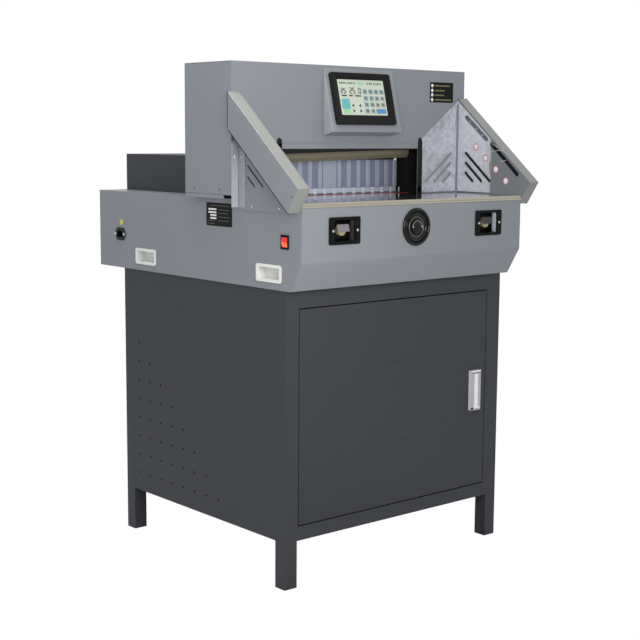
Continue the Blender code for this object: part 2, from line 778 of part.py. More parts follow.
def slot(start, end, width, sides=ARC_SIDES):
    """The outline of a slot with round ends between two points."""
    run = Vector(end) - Vector(start)
    heading = math.atan2(run.y, run.x)
    points = []
    for centre, first in ((end, heading - math.pi / 2), (start, heading + math.pi / 2)):
        for i in range(sides + 1):
            turn = first + math.pi * i / sides
            points.append((centre[0] + width / 2 * math.cos(turn), centre[1] + width / 2 * math.sin(turn)))
    return points


def rectangle(low, high):
    """A rectangle between two corners."""
    return [low, (high[0], low[1]), high, (low[0], high[1])]


def round_rectangle(middle, width, height, radius, sides=3):
    """A rectangle with round corners."""
    points = []
    for quarter in range(4):
        sign_a = UNIT if quarter in (0, 3) else -UNIT
        sign_b = UNIT if quarter in (0, 1) else -UNIT
        corner = (middle[0] + sign_a * (width / 2 - radius), middle[1] + sign_b * (height / 2 - radius))
        for i in range(sides + 1):
            turn = math.pi / 2 * (quarter + i / sides)
            points.append((corner[0] + radius * math.cos(turn), corner[1] + radius * math.sin(turn)))
    return points


def inset(points, distance):
    """Move the sides of a convex outline inwards."""
    count = len(points)
    area = sum(points[i][0] * points[(i + 1) % count][1] - points[(i + 1) % count][0] * points[i][1]
               for i in range(count))
    side = UNIT if area > 0 else -UNIT
    moved = []
    for i in range(count):
        a, b, c = (Vector(points[(i + k) % count]) for k in (-1, 0, 1))
        before, after = (b - a).normalized(), (c - b).normalized()
        normal_before = Vector((-before.y, before.x)) * side
        normal_after = Vector((-after.y, after.x)) * side
        middle = (normal_before + normal_after).normalized()
        reach = distance / middle.dot(normal_after)
        moved.append(tuple(b + middle * reach))
    return moved


def turned_rectangle(middle, width, length, angle):
    """A rectangle whose length leans by an angle from straight down towards +X."""
    across = Vector((math.cos(angle), math.sin(angle)))
    down = Vector((math.sin(angle), -math.cos(angle)))
    centre = Vector(middle)
    signs = ((-HALF, -HALF), (HALF, -HALF), (HALF, HALF), (-HALF, HALF))
    return [tuple(centre + across * width * a + down * length * b) for a, b in signs]


def mirrored(points):
    """The same outline on the other side of the machine's middle."""
    return [(-a, b) for a, b in points]


def leg_corners():
    """The low corner of each leg."""
    for x in (-STAND_HALF, STAND_HALF - LEG_SIZE):
        for y in (STAND_FRONT, STAND_REAR - LEG_SIZE):
            yield x, y


def make_stand_frame():
    """Legs, rails, door stiles, floor sheet and the door's two pivot pins, welded into one frame."""
    legs = [block("leg", (x, y, 0), (x + LEG_SIZE, y + LEG_SIZE, STAND_TOP)) for x, y in leg_corners()]
    skin = STAND_SHEET + GAP
    inner_x = STAND_HALF - LEG_SIZE / 2
    rails = []
    levels = ((STAND_SKIRT, STAND_SKIRT + BOTTOM_RAIL_HEIGHT), (STAND_TOP - TOP_RAIL_HEIGHT, STAND_TOP))
    for low, high in levels:
        rails.append(block("rail_front", (-inner_x, STAND_FRONT, low),
                           (inner_x, STAND_FRONT + RAIL_DEPTH, high)))
        rails.append(block("rail_rear", (-inner_x, STAND_REAR - skin - RAIL_DEPTH, low),
                           (inner_x, STAND_REAR - skin, high)))
        for side in (-UNIT, UNIT):
            outer, inner = side * (STAND_HALF - skin), side * (STAND_HALF - skin - RAIL_DEPTH)
            rails.append(block("rail_side", (min(outer, inner), STAND_FRONT + LEG_SIZE / 2, low),
                               (max(outer, inner), STAND_REAR - LEG_SIZE / 2, high)))
    stile_low = STAND_SKIRT + BOTTOM_RAIL_HEIGHT / 2
    stile_high = STAND_TOP - TOP_RAIL_HEIGHT / 2
    stiles = [
        block("stile_left", (-inner_x, STAND_FRONT, stile_low),
              (DOOR_LEFT - DOOR_STILE_STRIP, STAND_FRONT + RAIL_DEPTH, stile_high)),
        block("stile_right", (DOOR_RIGHT + DOOR_STILE_STRIP, STAND_FRONT, stile_low),
              (inner_x, STAND_FRONT + RAIL_DEPTH, stile_high)),
    ]
    pins = []
    for rail_edge, tip in ((stile_low, DOOR_BOTTOM + PIVOT_REACH), (stile_high, DOOR_TOP - PIVOT_REACH)):
        x, y = DOOR_LEFT + PIVOT_INSET, STAND_FRONT + PIVOT_INSET
        pins.append(rod("pivot_pin", (x, y, rail_edge), (x, y, tip), PIVOT_RADIUS, PIVOT_SIDES))
    floor_top = STAND_SKIRT + BOTTOM_RAIL_HEIGHT - GAP
    floor = block("floor", (-inner_x, STAND_FRONT + RAIL_DEPTH / 2, floor_top - STAND_SHEET),
                  (inner_x, STAND_REAR - LEG_SIZE / 2, floor_top))
    frame = legs[0]
    frame.name = frame.data.name = "stand_frame"
    return finish(unite(frame, *legs[1:], *rails, *stiles, *pins, floor), DARK_PAINT)


def make_stand_sides():
    """The two side panels, perforated in a triangle towards the rear."""
    outline = rectangle((STAND_FRONT + LEG_SIZE + GAP, STAND_SKIRT), (STAND_REAR - LEG_SIZE - GAP, STAND_TOP))
    holes = []
    for row in range(PERFORATION_ROWS):
        for column in range(PERFORATION_ROWS - row):
            middle = (PERFORATION_REAR - column * PERFORATION_PITCH,
                      PERFORATION_BOTTOM + row * PERFORATION_PITCH)
            holes.append(circle(middle, PERFORATION_RADIUS, PERFORATION_SIDES))
    for side, word in ((-UNIT, "left"), (UNIT, "right")):
        across = span(side, STAND_HALF - STAND_SHEET, STAND_HALF)
        finish(sheet("stand_side_" + word, [outline, *holes], "X", *across), DARK_PAINT)


def make_stand_back():
    """The closed back panel."""
    edge = STAND_HALF - LEG_SIZE - GAP
    finish(sheet("stand_back_panel", [rectangle((-edge, STAND_SKIRT), (edge, STAND_TOP))], "Y",
                 STAND_REAR - STAND_SHEET, STAND_REAR), DARK_PAINT)


def make_door():
    """The cabinet door, a folded tray hung on two pivot pins, and its pull handle."""
    door = tray("cabinet_door", (DOOR_LEFT, STAND_FRONT, DOOR_BOTTOM),
                (DOOR_RIGHT, STAND_FRONT + DOOR_DEPTH, DOOR_TOP), STAND_SHEET, [(0, UNIT, 0)])
    x, y = DOOR_LEFT + PIVOT_INSET, STAND_FRONT + PIVOT_INSET
    bore = rod("pivot_bore", (x, y, DOOR_BOTTOM - OVERRUN), (x, y, DOOR_TOP + OVERRUN),
               PIVOT_RADIUS + GAP, PIVOT_SIDES)
    creases = []
    for share in CREASE_SHARES:
        height = DOOR_BOTTOM + (DOOR_TOP - DOOR_BOTTOM) * share
        low = (CREASE_MIDDLE - CREASE_HALF_LENGTH, STAND_FRONT - OVERRUN, height - CREASE_WIDTH / 2)
        high = (CREASE_MIDDLE + CREASE_HALF_LENGTH, STAND_FRONT + CREASE_DEPTH, height + CREASE_WIDTH / 2)
        creases.append(block("crease", low, high))
    finish(cut(door, bore, *creases), DARK_PAINT)

    back = STAND_FRONT - GAP
    front = back - HANDLE_PLATE - HANDLE_STAND_OFF
    low_z, high_z = HANDLE_Z - HANDLE_HEIGHT / 2, HANDLE_Z + HANDLE_HEIGHT / 2
    right = HANDLE_X + HANDLE_WIDTH / 2
    handle = block("door_handle", (right - HANDLE_WIDTH, back - HANDLE_PLATE, low_z), (right, back, high_z))
    grip = rounded(block("grip", (right - HANDLE_GRIP_WIDTH, front, low_z),
                         (right, back - HANDLE_PLATE / 2, high_z)), HANDLE_ROUND, 3)
    finger = block("finger_pocket",
                   (right - HANDLE_GRIP_WIDTH - OVERRUN, front + HANDLE_WALL, low_z + HANDLE_WALL * 2),
                   (right - HANDLE_WALL, back - HANDLE_PLATE, high_z - HANDLE_WALL * 2))
    unite(handle, grip)
    finish(cut(handle, finger), WHITE_PLASTIC)
    hinge = axis_at("door_hinge", (x, y, 0))
    hang(hinge, door, handle)


def make_machine_base():
    """The base plate with the table's supports, the gauge's rails and bearings, and its motor's pedestal."""
    edge = BODY_INNER - GAP
    base = block("machine_base", (-edge, BEVEL_FOOT + FRONT_FLANGE + GAP, BODY_BOTTOM),
                 (edge, BODY_REAR - CASING_SHEET - GAP, BASE_TOP))
    foot = BODY_BOTTOM + BASE_THICKNESS / 2
    top = TABLE_UNDER - GAP
    wide = SUPPORT_HALF_WIDTH
    supports = [
        block("support_front", (-wide, SUPPORT_FRONT, foot), (wide, SUPPORT_FRONT + SUPPORT_THICKNESS, top)),
        block("support_rear", (-wide, SUPPORT_REAR, foot), (wide, SUPPORT_REAR + SUPPORT_THICKNESS, top)),
        block("support_middle", (-BEARING_HALF, BEARING_FRONT, foot),
              (BEARING_HALF, BEARING_FRONT + SUPPORT_THICKNESS, top)),
        block("motor_pedestal", (-GAUGE_MOTOR_SIZE / 2, GAUGE_MOTOR_FRONT, foot),
              (GAUGE_MOTOR_SIZE / 2, GAUGE_MOTOR_BACK, GAUGE_AXIS_Z - GAUGE_MOTOR_SIZE / 2 - GAP)),
    ]
    rails = [rod("rail", (x, BEARING_FRONT + GAP, GAUGE_AXIS_Z), (x, rail_end() - GAP, GAUGE_AXIS_Z),
                 GAUGE_RAIL_RADIUS, ROD_SIDES) for x in (-GAUGE_RAIL_SPREAD, GAUGE_RAIL_SPREAD)]
    bore = rod("bearing_bore", (0, BEARING_FRONT - OVERRUN / 2, GAUGE_AXIS_Z),
               (0, rail_end() + OVERRUN, GAUGE_AXIS_Z), LEAD_SCREW_RADIUS + GAP, ROD_SIDES)
    unite(base, *supports, *rails)
    return finish(cut(base, bore), CAST)


def rail_end():
    """Where the gauge's rails and lead screw end, at the rear support's back."""
    return SUPPORT_REAR + SUPPORT_THICKNESS


def make_worktable():
    """The steel table with its cutting stick, which slides out towards the pull arm, and the gauge's slot."""
    edge = BODY_INNER - GAP
    left, right = COLUMN_LEFT_INNER + GAP, ARM_LEFT - TABLE_ARM_GAP
    throat = HEAD_FRONT + HEAD_SHEET * 2
    rear_start = COLUMN_REAR + GAP
    rear_end = TABLE_REAR_END
    outline = [(-edge, BODY_FRONT + GAP), (edge, BODY_FRONT + GAP), (edge, throat), (right, throat),
               (right, rear_start), (TABLE_REAR_HALF, rear_start), (TABLE_REAR_HALF, rear_end),
               (-TABLE_REAR_HALF, rear_end), (-TABLE_REAR_HALF, rear_start), (left, rear_start),
               (left, throat), (-edge, throat)]
    half_slot = GAUGE_SLOT_WIDTH / 2
    gauge_slot = rectangle((-half_slot, GAUGE_ARM_FRONT - GAUGE_SLOT_SPARE), (half_slot, GAUGE_SLOT_END))
    table = sheet("worktable", [outline, gauge_slot], "Z", TABLE_UNDER, TABLE_TOP)
    stick_low = (CLAMP_LEFT, BLADE_FRONT + STICK_SET_BACK, TABLE_TOP - STICK_DEPTH)
    stick_high = (right - GAP, BLADE_FRONT + STICK_SET_BACK + STICK_WIDTH, KNIFE_EDGE_END - GAP)
    groove_low = [value - GAP for value in stick_low]
    groove_high = (right + OVERRUN, stick_high[1] + GAP, TABLE_TOP + OVERRUN)
    finish(cut(table, block("stick_groove", groove_low, groove_high)), STEEL)
    finish(block("cutting_stick", stick_low, stick_high), RED_PLASTIC)
    finish(block("table_trim", (-BODY_HALF, BODY_FRONT - TRIM_PROUD, TABLE_TOP - TRIM_HEIGHT),
                 (BODY_HALF, BODY_FRONT, TABLE_TOP)), PALE_METAL)


def make_front_panel():
    """The folded front panel with its bevel, cut out for the cut stations and the handwheel."""
    edge = BODY_INNER - GAP
    line = [(BEVEL_FOOT + FRONT_FLANGE, BODY_BOTTOM), (BEVEL_FOOT, BODY_BOTTOM), (BODY_FRONT, BEVEL_TOP),
            (BODY_FRONT, TABLE_UNDER - GAP)]
    panel = folded("body_front_panel", line, "X", -edge, edge, CASING_SHEET)
    tools = []
    near, far = BODY_FRONT - OVERRUN, BODY_FRONT + OVERRUN
    for x in (STATION_LEFT_X, STATION_RIGHT_X):
        half_w, half_h = STATION_BODY_WIDTH / 2 + GAP, STATION_BODY_HEIGHT / 2 + GAP
        tools.append(block("station_hole", (x - half_w, near, STATION_Z - half_h),
                           (x + half_w, far, STATION_Z + half_h)))
    tools.append(rod("dish_hole", (WHEEL_X, near, WHEEL_Z), (WHEEL_X, far, WHEEL_Z),
                     DISH_POT_RADIUS + DISH_WALL + GAP * 2, WHEEL_SIDES))
    return finish(cut(panel, *tools), GREY_PAINT)


def carry_hole(y):
    """The hole in a side panel for one flush carry handle."""
    width, height = CARRY_BODY_WIDTH + GAP * 2, CARRY_BODY_HEIGHT + GAP * 2
    return round_rectangle((y, CARRY_Z), width, height, CARRY_CORNER)


def make_body_sides():
    """The two side panels, with holes for the carry handles, and on the left the switch and the inlet."""
    outline = [(BODY_FRONT, TABLE_TOP), (BODY_FRONT, BEVEL_TOP), (BEVEL_FOOT, BODY_BOTTOM),
               (BODY_REAR, BODY_BOTTOM), (BODY_REAR, TABLE_TOP)]
    grips = [carry_hole(CARRY_FRONT_Y), carry_hole(CARRY_REAR_Y)]
    switch_w, switch_h = SWITCH_BODY_WIDTH / 2 + GAP, SWITCH_BODY_HEIGHT / 2 + GAP
    switch = rectangle((SWITCH_Y - switch_w, SWITCH_Z - switch_h), (SWITCH_Y + switch_w, SWITCH_Z + switch_h))
    inlet_w, inlet_h = INLET_BODY_WIDTH / 2 + GAP, INLET_BODY_HEIGHT / 2 + GAP
    inlet = rectangle((INLET_Y - inlet_w, INLET_Z - inlet_h), (INLET_Y + inlet_w, INLET_Z + inlet_h))
    for side, word, holes in ((-UNIT, "left", [*grips, switch, inlet]), (UNIT, "right", grips)):
        panel = sheet("body_side_" + word, [outline, *holes], "X", *span(side, BODY_INNER, BODY_HALF))
        finish(panel, GREY_PAINT)


def make_rear_covers():
    """The folded rear cover of the body, and the dark guard over the back gauge."""
    edge = BODY_INNER - GAP
    start = HEAD_REAR + GAP
    line = [(start, TABLE_TOP), (BODY_REAR, TABLE_TOP), (BODY_REAR, BODY_BOTTOM)]
    cover = folded("body_rear_cover", line, "X", -edge, edge, CASING_SHEET)
    opening = block("table_opening", (-TABLE_REAR_HALF - GAP, start - OVERRUN, TABLE_UNDER),
                    (TABLE_REAR_HALF + GAP, TABLE_REAR_END + GAP, TABLE_TOP + OVERRUN))
    finish(cut(cover, opening), GREY_PAINT)
    finish(tray("rear_guard", (-REAR_GUARD_HALF, start, TABLE_TOP + GAP),
                (REAR_GUARD_HALF, REAR_GUARD_END, REAR_GUARD_TOP), REAR_GUARD_SHEET,
                [(0, 0, -UNIT), (0, -UNIT, 0)]), DARK_PAINT)


def make_cutter_frame():
    """The frame casting: two columns, the bored cross beam and the knife's right guide key."""
    low = BASE_TOP + GAP
    frame = block("cutter_frame", (-COLUMN_OUTER, COLUMN_FRONT, low),
                  (COLUMN_LEFT_INNER, COLUMN_REAR, COLUMN_TOP))
    right = block("right_column", (COLUMN_RIGHT_INNER, COLUMN_FRONT, low),
                  (COLUMN_OUTER, COLUMN_REAR, COLUMN_TOP))
    beam = block("cross_beam", (COLUMN_LEFT_INNER - OVERRUN, COLUMN_FRONT, CROSS_BEAM_BOTTOM),
                 (COLUMN_RIGHT_INNER + OVERRUN, COLUMN_REAR, CROSS_BEAM_TOP))
    lip = block("beam_lip", (COLUMN_LEFT_INNER + GAP, CROSS_BEAM_FRONT, CROSS_BEAM_BOTTOM),
                (COLUMN_RIGHT_INNER - GAP, COLUMN_FRONT + OVERRUN, CROSS_BEAM_TOP))
    bores = []
    for x, radius in ((CLAMP_MIDDLE_X - ROD_OFFSET, ROD_RADIUS), (CLAMP_MIDDLE_X + ROD_OFFSET, ROD_RADIUS),
                      (CLAMP_MIDDLE_X, CLAMP_SCREW_RADIUS)):
        bores.append(rod("clamp_bore", (x, CLAMP_MIDDLE_Y, CROSS_BEAM_BOTTOM - OVERRUN),
                         (x, CLAMP_MIDDLE_Y, CROSS_BEAM_TOP + OVERRUN), radius + GAP, ROD_SIDES))
    unite(frame, right, beam, lip, *guide_key())
    return finish(cut(frame, *bores), CAST)


def make_head_covers():
    """The head's front cover with the work opening, its side covers, and the folded top and rear cover."""
    half_slot = OPENING_SLOT_WIDTH / 2
    foot = TABLE_TOP + GAP
    left_arc, right_arc = [], []
    for i in range(ARC_SIDES + 1):
        turn = math.pi - math.pi * i / ARC_SIDES
        rise = OPENING_SLOT_TOP - half_slot + half_slot * math.sin(turn)
        left_arc.append((OPENING_LEFT + half_slot * math.cos(turn), rise))
        right_arc.append((OPENING_RIGHT + half_slot * math.cos(turn), rise))
    outline = [(-HEAD_HALF, HEAD_SIDE_BOTTOM), (-BODY_HALF, HEAD_SIDE_BOTTOM), (-BODY_HALF, foot),
               (OPENING_LEFT - half_slot, foot), *left_arc, (OPENING_LEFT + half_slot, OPENING_LINTEL),
               (OPENING_RIGHT - half_slot, OPENING_LINTEL), *right_arc, (OPENING_RIGHT + half_slot, foot),
               (BODY_HALF, foot), (BODY_HALF, HEAD_SIDE_BOTTOM), (HEAD_HALF, HEAD_SIDE_BOTTOM),
               (HEAD_HALF, HEAD_TOP), (-HEAD_HALF, HEAD_TOP)]
    front = sheet("head_front_cover", [outline], "Y", HEAD_FRONT, HEAD_FRONT + HEAD_SHEET)
    step = block("lintel_step", (OPENING_LEFT, HEAD_FRONT - OVERRUN, OPENING_LINTEL - OVERRUN),
                 (OPENING_RIGHT, HEAD_FRONT + LINTEL_FOLD_DEPTH, OPENING_LINTEL + LINTEL_FOLD_HEIGHT))
    finish(cut(front, step), GREY_PAINT)

    side_top = HEAD_TOP - HEAD_SHEET - GAP
    near, far = HEAD_FRONT + HEAD_SHEET + GAP, HEAD_REAR - HEAD_SHEET - GAP
    flange = BODY_HALF + GAP * 2
    left_line = [(-flange, HEAD_SIDE_BOTTOM), (-HEAD_HALF, HEAD_SIDE_BOTTOM), (-HEAD_HALF, side_top)]
    right_line = mirrored(left_line)[::-1]
    finish(folded("head_side_left", left_line, "Y", near, far, HEAD_SHEET), GREY_PAINT)
    finish(folded("head_side_right", right_line, "Y", near, far, HEAD_SHEET), GREY_PAINT)

    line = [(near, HEAD_TOP), (HEAD_REAR, HEAD_TOP), (HEAD_REAR, foot)]
    top = folded("head_top_cover", line, "X", -HEAD_HALF, HEAD_HALF, HEAD_SHEET)
    behind = HEAD_REAR - HEAD_SHEET - OVERRUN
    tools = [block("guard_opening", (-REAR_GUARD_HALF - GAP, behind, foot - OVERRUN),
                   (REAR_GUARD_HALF + GAP, HEAD_REAR + OVERRUN, REAR_GUARD_TOP + GAP))]
    for side in (-UNIT, UNIT):
        inner, outer = side * BODY_HALF, side * (HEAD_HALF + OVERRUN)
        tools.append(block("corner_notch", (min(inner, outer), behind, foot - OVERRUN),
                           (max(inner, outer), HEAD_REAR + OVERRUN, HEAD_SIDE_BOTTOM)))
    finish(cut(top, *tools), GREY_PAINT)


def path_point(share):
    """Where the knife's pivot is when a share of the stroke is done."""
    return Vector((KNIFE_PIVOT_X + KNIFE_SIDE_SHIFT * share, KNIFE_PIVOT_Z - KNIFE_DROP * share))


def on_beam(point, share):
    """A fixed point as the beam sees it, in the beam's own level frame."""
    lean = KNIFE_TILT * (UNIT - share)
    away = Vector(point) - path_point(share)
    x = away.x * math.cos(lean) + away.y * math.sin(lean)
    z = away.y * math.cos(lean) - away.x * math.sin(lean)
    return Vector((KNIFE_PIVOT_X + x, KNIFE_PIVOT_Z + z))


def guide_block_middle():
    """The fixed guide block on the right column, low in the beam's slot at rest."""
    rise = KNIFE_EDGE_REST + BEAM_ABOVE_EDGE + GUIDE_BLOCK_RISE
    return Vector((GUIDE_BLOCK_X, rise + math.sin(KNIFE_TILT) * (GUIDE_BLOCK_X - KNIFE_PIVOT_X)))


def shoe_reach():
    """Half the width and half the height that the leaning shoe takes."""
    across = SHOE_WIDTH / 2 * math.cos(PATH_ANGLE) + SHOE_LENGTH / 2 * math.sin(PATH_ANGLE)
    down = SHOE_WIDTH / 2 * math.sin(PATH_ANGLE) + SHOE_LENGTH / 2 * math.cos(PATH_ANGLE)
    return across, down


def make_knife_guide():
    """The slotted guide plate on the left column."""
    middle = path_point(HALF)
    across, down = shoe_reach()
    half_w = KNIFE_SIDE_SHIFT / 2 + across + GUIDE_MARGIN
    half_h = KNIFE_DROP / 2 + down + GUIDE_MARGIN
    outline = rectangle((middle.x - half_w, middle.y - half_h), (middle.x + half_w, middle.y + half_h))
    way = turned_rectangle(middle, SHOE_WIDTH + GAP * 2, KNIFE_STROKE + SHOE_LENGTH + GAP * 2, PATH_ANGLE)
    finish(sheet("knife_guide", [outline, way], "Y", GUIDE_FRONT, COLUMN_FRONT - GAP), STEEL)


def guide_key():
    """The pad and key that stand on the right column and run in the beam's slot."""
    across, down = shoe_reach()
    at = guide_block_middle()
    half_w, half_h = across + GUIDE_MARGIN, down + GUIDE_MARGIN
    pad = sheet("guide_pad", [rectangle((at.x - half_w, at.y - half_h), (at.x + half_w, at.y + half_h))], "Y",
                GUIDE_FRONT, COLUMN_FRONT + GUIDE_THICKNESS / 2)
    key_outline = turned_rectangle(at, SHOE_WIDTH, SHOE_LENGTH, key_lean() - KNIFE_TILT / 2)
    key = sheet("guide_key", [key_outline], "Y", BEAM_BACK - KEY_REACH, GUIDE_FRONT + GUIDE_THICKNESS / 2)
    return pad, key


def key_lean():
    """How the key's way leans in the beam's own frame."""
    at = guide_block_middle()
    start, end = on_beam(at, 0), on_beam(at, UNIT)
    return math.atan2(start.x - end.x, end.y - start.y)


def make_knife_shoe():
    """The bronze shoe that slides in the left guide, with the pin that the beam hangs on."""
    at = path_point(0)
    front, back = GUIDE_FRONT + GAP, COLUMN_FRONT - GAP * 2
    shoe = sheet("knife_shoe", [turned_rectangle(at, SHOE_WIDTH, SHOE_LENGTH, PATH_ANGLE)], "Y", front, back)
    pin = rod("shoe_pin", (at.x, BEAM_FRONT + HEAD_SHEET, at.y), (at.x, back - SHOE_WIDTH / 4, at.y),
              SHOE_PIN_RADIUS, SHOE_PIN_SIDES)
    finish(unite(shoe, pin), PALE_METAL)
    hang(axis_at("knife_path", (at.x, GUIDE_FRONT, at.y)), shoe)


def crank_pin_at(share):
    """Where the crank's pin is when a share of the stroke is done."""
    turn = CRANK_SWING / 2 - CRANK_SWING * share
    return Vector((CRANK_X + CRANK_RADIUS * math.cos(turn), CRANK_Z + CRANK_RADIUS * math.sin(turn)))


def make_knife():
    """The knife beam with its pull arm and bolts, and the blade, drawn level and then leaned to rest."""
    low = KNIFE_EDGE_REST + BEAM_ABOVE_EDGE
    beam = block("knife_beam", (BEAM_LEFT, BEAM_FRONT, low), (BEAM_RIGHT, BEAM_BACK, low + BEAM_HEIGHT))
    rounded(beam, BEAM_CHAMFER, 1)
    seen = [on_beam(crank_pin_at(step / PIN_STEPS), step / PIN_STEPS) for step in range(PIN_STEPS + 1)]
    room = CRANK_PIN_RADIUS + YOKE_CLEARANCE
    slot_low = (min(p.x for p in seen) - room, min(p.y for p in seen) - room)
    slot_high = (max(p.x for p in seen) + room, max(p.y for p in seen) + room)
    arm_right = ARM_LEFT + ARM_WIDTH
    arm = block("pull_arm", (ARM_LEFT, ARM_FRONT, slot_low[1] - YOKE_WALL),
                (arm_right, ARM_BACK, low + ARM_WIDTH))
    foot = block("yoke", (slot_low[0] - YOKE_WALL, ARM_FRONT, slot_low[1] - YOKE_WALL),
                 (arm_right, ARM_BACK, slot_high[1] + YOKE_WALL))
    bolts = []
    spread = (BLADE_RIGHT - BLADE_LEFT) / BOLT_COUNT
    for i in range(BOLT_COUNT):
        x, z = BLADE_LEFT + spread * (i + HALF), KNIFE_EDGE_REST + BOLT_HEIGHT
        bolts.append(rod("bolt", (x, BEAM_FRONT + BOLT_HEAD_HEIGHT, z), (x, BEAM_FRONT - BOLT_HEAD_HEIGHT, z),
                         BOLT_HEAD_RADIUS, BOLT_SIDES))
    unite(beam, arm, foot, group("bolts", bolts))

    at = guide_block_middle()
    start, end = on_beam(at, 0), on_beam(at, UNIT)
    clear = GUIDE_SLOT_CLEARANCE * 2
    way = sheet("guide_way", [turned_rectangle((start + end) / 2, SHOE_WIDTH + clear,
                                               (end - start).length + SHOE_LENGTH + clear, key_lean())], "Y",
                BEAM_FRONT - OVERRUN, BEAM_BACK + OVERRUN)
    pin_hole = rod("shoe_pin_hole", (KNIFE_PIVOT_X, BEAM_FRONT - OVERRUN, KNIFE_PIVOT_Z),
                   (KNIFE_PIVOT_X, BEAM_BACK + OVERRUN, KNIFE_PIVOT_Z), SHOE_PIN_RADIUS + GAP, SHOE_PIN_SIDES)
    yoke_slot = block("yoke_slot", (slot_low[0], ARM_FRONT - OVERRUN, slot_low[1]),
                      (slot_high[0], ARM_BACK + OVERRUN, slot_high[1]))
    finish(cut(beam, way, pin_hole, yoke_slot), CAST)

    edge, front, back = KNIFE_EDGE_REST, BLADE_FRONT, BLADE_BACK
    blade = sheet("knife_blade", [[(back, edge), (back, edge + BLADE_HEIGHT), (front, edge + BLADE_HEIGHT),
                                   (front, edge + BLADE_BEVEL), (back - BLADE_EDGE, edge)]], "X",
                  BLADE_LEFT, BLADE_RIGHT)
    finish(blade, STEEL)

    swing = axis_at("knife_pivot", (KNIFE_PIVOT_X, BEAM_BACK, KNIFE_PIVOT_Z))
    hang(swing, beam, blade)
    swing.rotation_euler = (0, -KNIFE_TILT, 0)


def make_knife_drive():
    """The crank disc with its pin in the yoke, and the gearmotor that turns it."""
    front = CRANK_BACK - CRANK_THICKNESS
    crank = rod("knife_crank", (CRANK_X, front, CRANK_Z), (CRANK_X, CRANK_BACK, CRANK_Z),
                CRANK_RADIUS + CRANK_RIM, CRANK_SIDES)
    at = crank_pin_at(0)
    pin = rod("crank_pin", (at.x, CRANK_PIN_FRONT, at.y), (at.x, front + CRANK_THICKNESS / 2, at.y),
              CRANK_PIN_RADIUS, SHOE_PIN_SIDES)
    shaft_end = CRANK_BACK + CRANK_SHAFT_LENGTH
    shaft = rod("crank_shaft", (CRANK_X, front + CRANK_THICKNESS / 2, CRANK_Z), (CRANK_X, shaft_end, CRANK_Z),
                CRANK_SHAFT_RADIUS, SHOE_PIN_SIDES)
    finish(unite(crank, pin, shaft), STEEL)
    hang(axis_at("crank_axis", (CRANK_X, CRANK_BACK, CRANK_Z)), crank)

    box_front = CRANK_BACK + GAP
    box_back = box_front + GEARBOX_LENGTH
    half = GEARBOX_WIDTH / 2
    drive = block("knife_gearmotor", (CRANK_X - half, box_front, BASE_TOP + GAP),
                  (CRANK_X + half, box_back, CRANK_Z + half))
    motor = rod("motor", (CRANK_X, box_back - OVERRUN, CRANK_Z), (CRANK_X, box_back + MOTOR_LENGTH, CRANK_Z),
                MOTOR_RADIUS, MOTOR_SIDES)
    bore = rod("shaft_bore", (CRANK_X, box_front - OVERRUN, CRANK_Z), (CRANK_X, shaft_end + GAP, CRANK_Z),
               CRANK_SHAFT_RADIUS + GAP, SHOE_PIN_SIDES)
    unite(drive, motor)
    finish(cut(drive, bore), MOTOR_PAINT)


def make_clamp():
    """The clamp beam with its guide rods and spindle, the nut that lifts it, and the nut's gearmotor."""
    top = CLAMP_BOTTOM + CLAMP_HEIGHT
    beam = rounded(block("clamp_beam", (CLAMP_LEFT, CLAMP_FRONT, CLAMP_BOTTOM),
                         (CLAMP_RIGHT, CLAMP_FRONT + CLAMP_DEPTH, top)), CLAMP_CHAMFER, 1)
    rods = [rod("rod", (x, CLAMP_MIDDLE_Y, top - CLAMP_HEIGHT / 2), (x, CLAMP_MIDDLE_Y, ROD_TOP), ROD_RADIUS,
                ROD_SIDES) for x in (CLAMP_MIDDLE_X - ROD_OFFSET, CLAMP_MIDDLE_X + ROD_OFFSET)]
    finish(unite(beam, *rods), ALUMINIUM)
    middle = (CLAMP_MIDDLE_X, CLAMP_MIDDLE_Y)
    spindle = rod("clamp_screw", (*middle, top + GAP), (*middle, ROD_TOP), CLAMP_SCREW_RADIUS, ROD_SIDES)
    finish(spindle, STEEL)
    hang(axis_at("clamp_path", (*middle, CLAMP_BOTTOM)), beam, spindle)

    nut_low = CROSS_BEAM_TOP + GAP
    nut_high = nut_low + CLAMP_NUT_HEIGHT
    nut = turned_ring("clamp_nut", middle, nut_low, nut_high, CLAMP_SCREW_RADIUS + GAP, CLAMP_NUT_RADIUS)
    finish(nut, PALE_METAL)
    hang(axis_at("clamp_nut_axis", (*middle, nut_low)), nut)

    low = CROSS_BEAM_TOP + GAP
    high = low + CLAMP_DRIVE_HEIGHT
    front = CLAMP_FRONT - GAP
    drive = block("clamp_gearmotor", (CLAMP_MIDDLE_X - CLAMP_DRIVE_WIDTH / 2, front, low),
                  (CLAMP_MIDDLE_X + CLAMP_DRIVE_WIDTH / 2, front + CLAMP_DRIVE_DEPTH, high))
    motor_y = front + CLAMP_DRIVE_DEPTH - CLAMP_MOTOR_RADIUS
    motor = rod("motor", (CLAMP_MIDDLE_X, motor_y, high - OVERRUN), (CLAMP_MIDDLE_X, motor_y, ROD_TOP),
                CLAMP_MOTOR_RADIUS, MOTOR_SIDES)
    pocket = rod("nut_pocket", (*middle, low - OVERRUN), (*middle, nut_high + GAP),
                 CLAMP_NUT_RADIUS + GAP, MOTOR_SIDES)
    bore = rod("spindle_bore", (*middle, low - OVERRUN), (*middle, high + OVERRUN),
               CLAMP_SCREW_RADIUS + GAP * 2, ROD_SIDES)
    unite(drive, motor)
    finish(cut(drive, pocket, bore), MOTOR_PAINT)


def turned_ring(name, middle, low, high, inner, outer):
    """A plain ring about an upright axis."""
    loops = [circle(middle, outer, MOTOR_SIDES), circle(middle, inner, MOTOR_SIDES)]
    return sheet(name, loops, "Z", low, high)


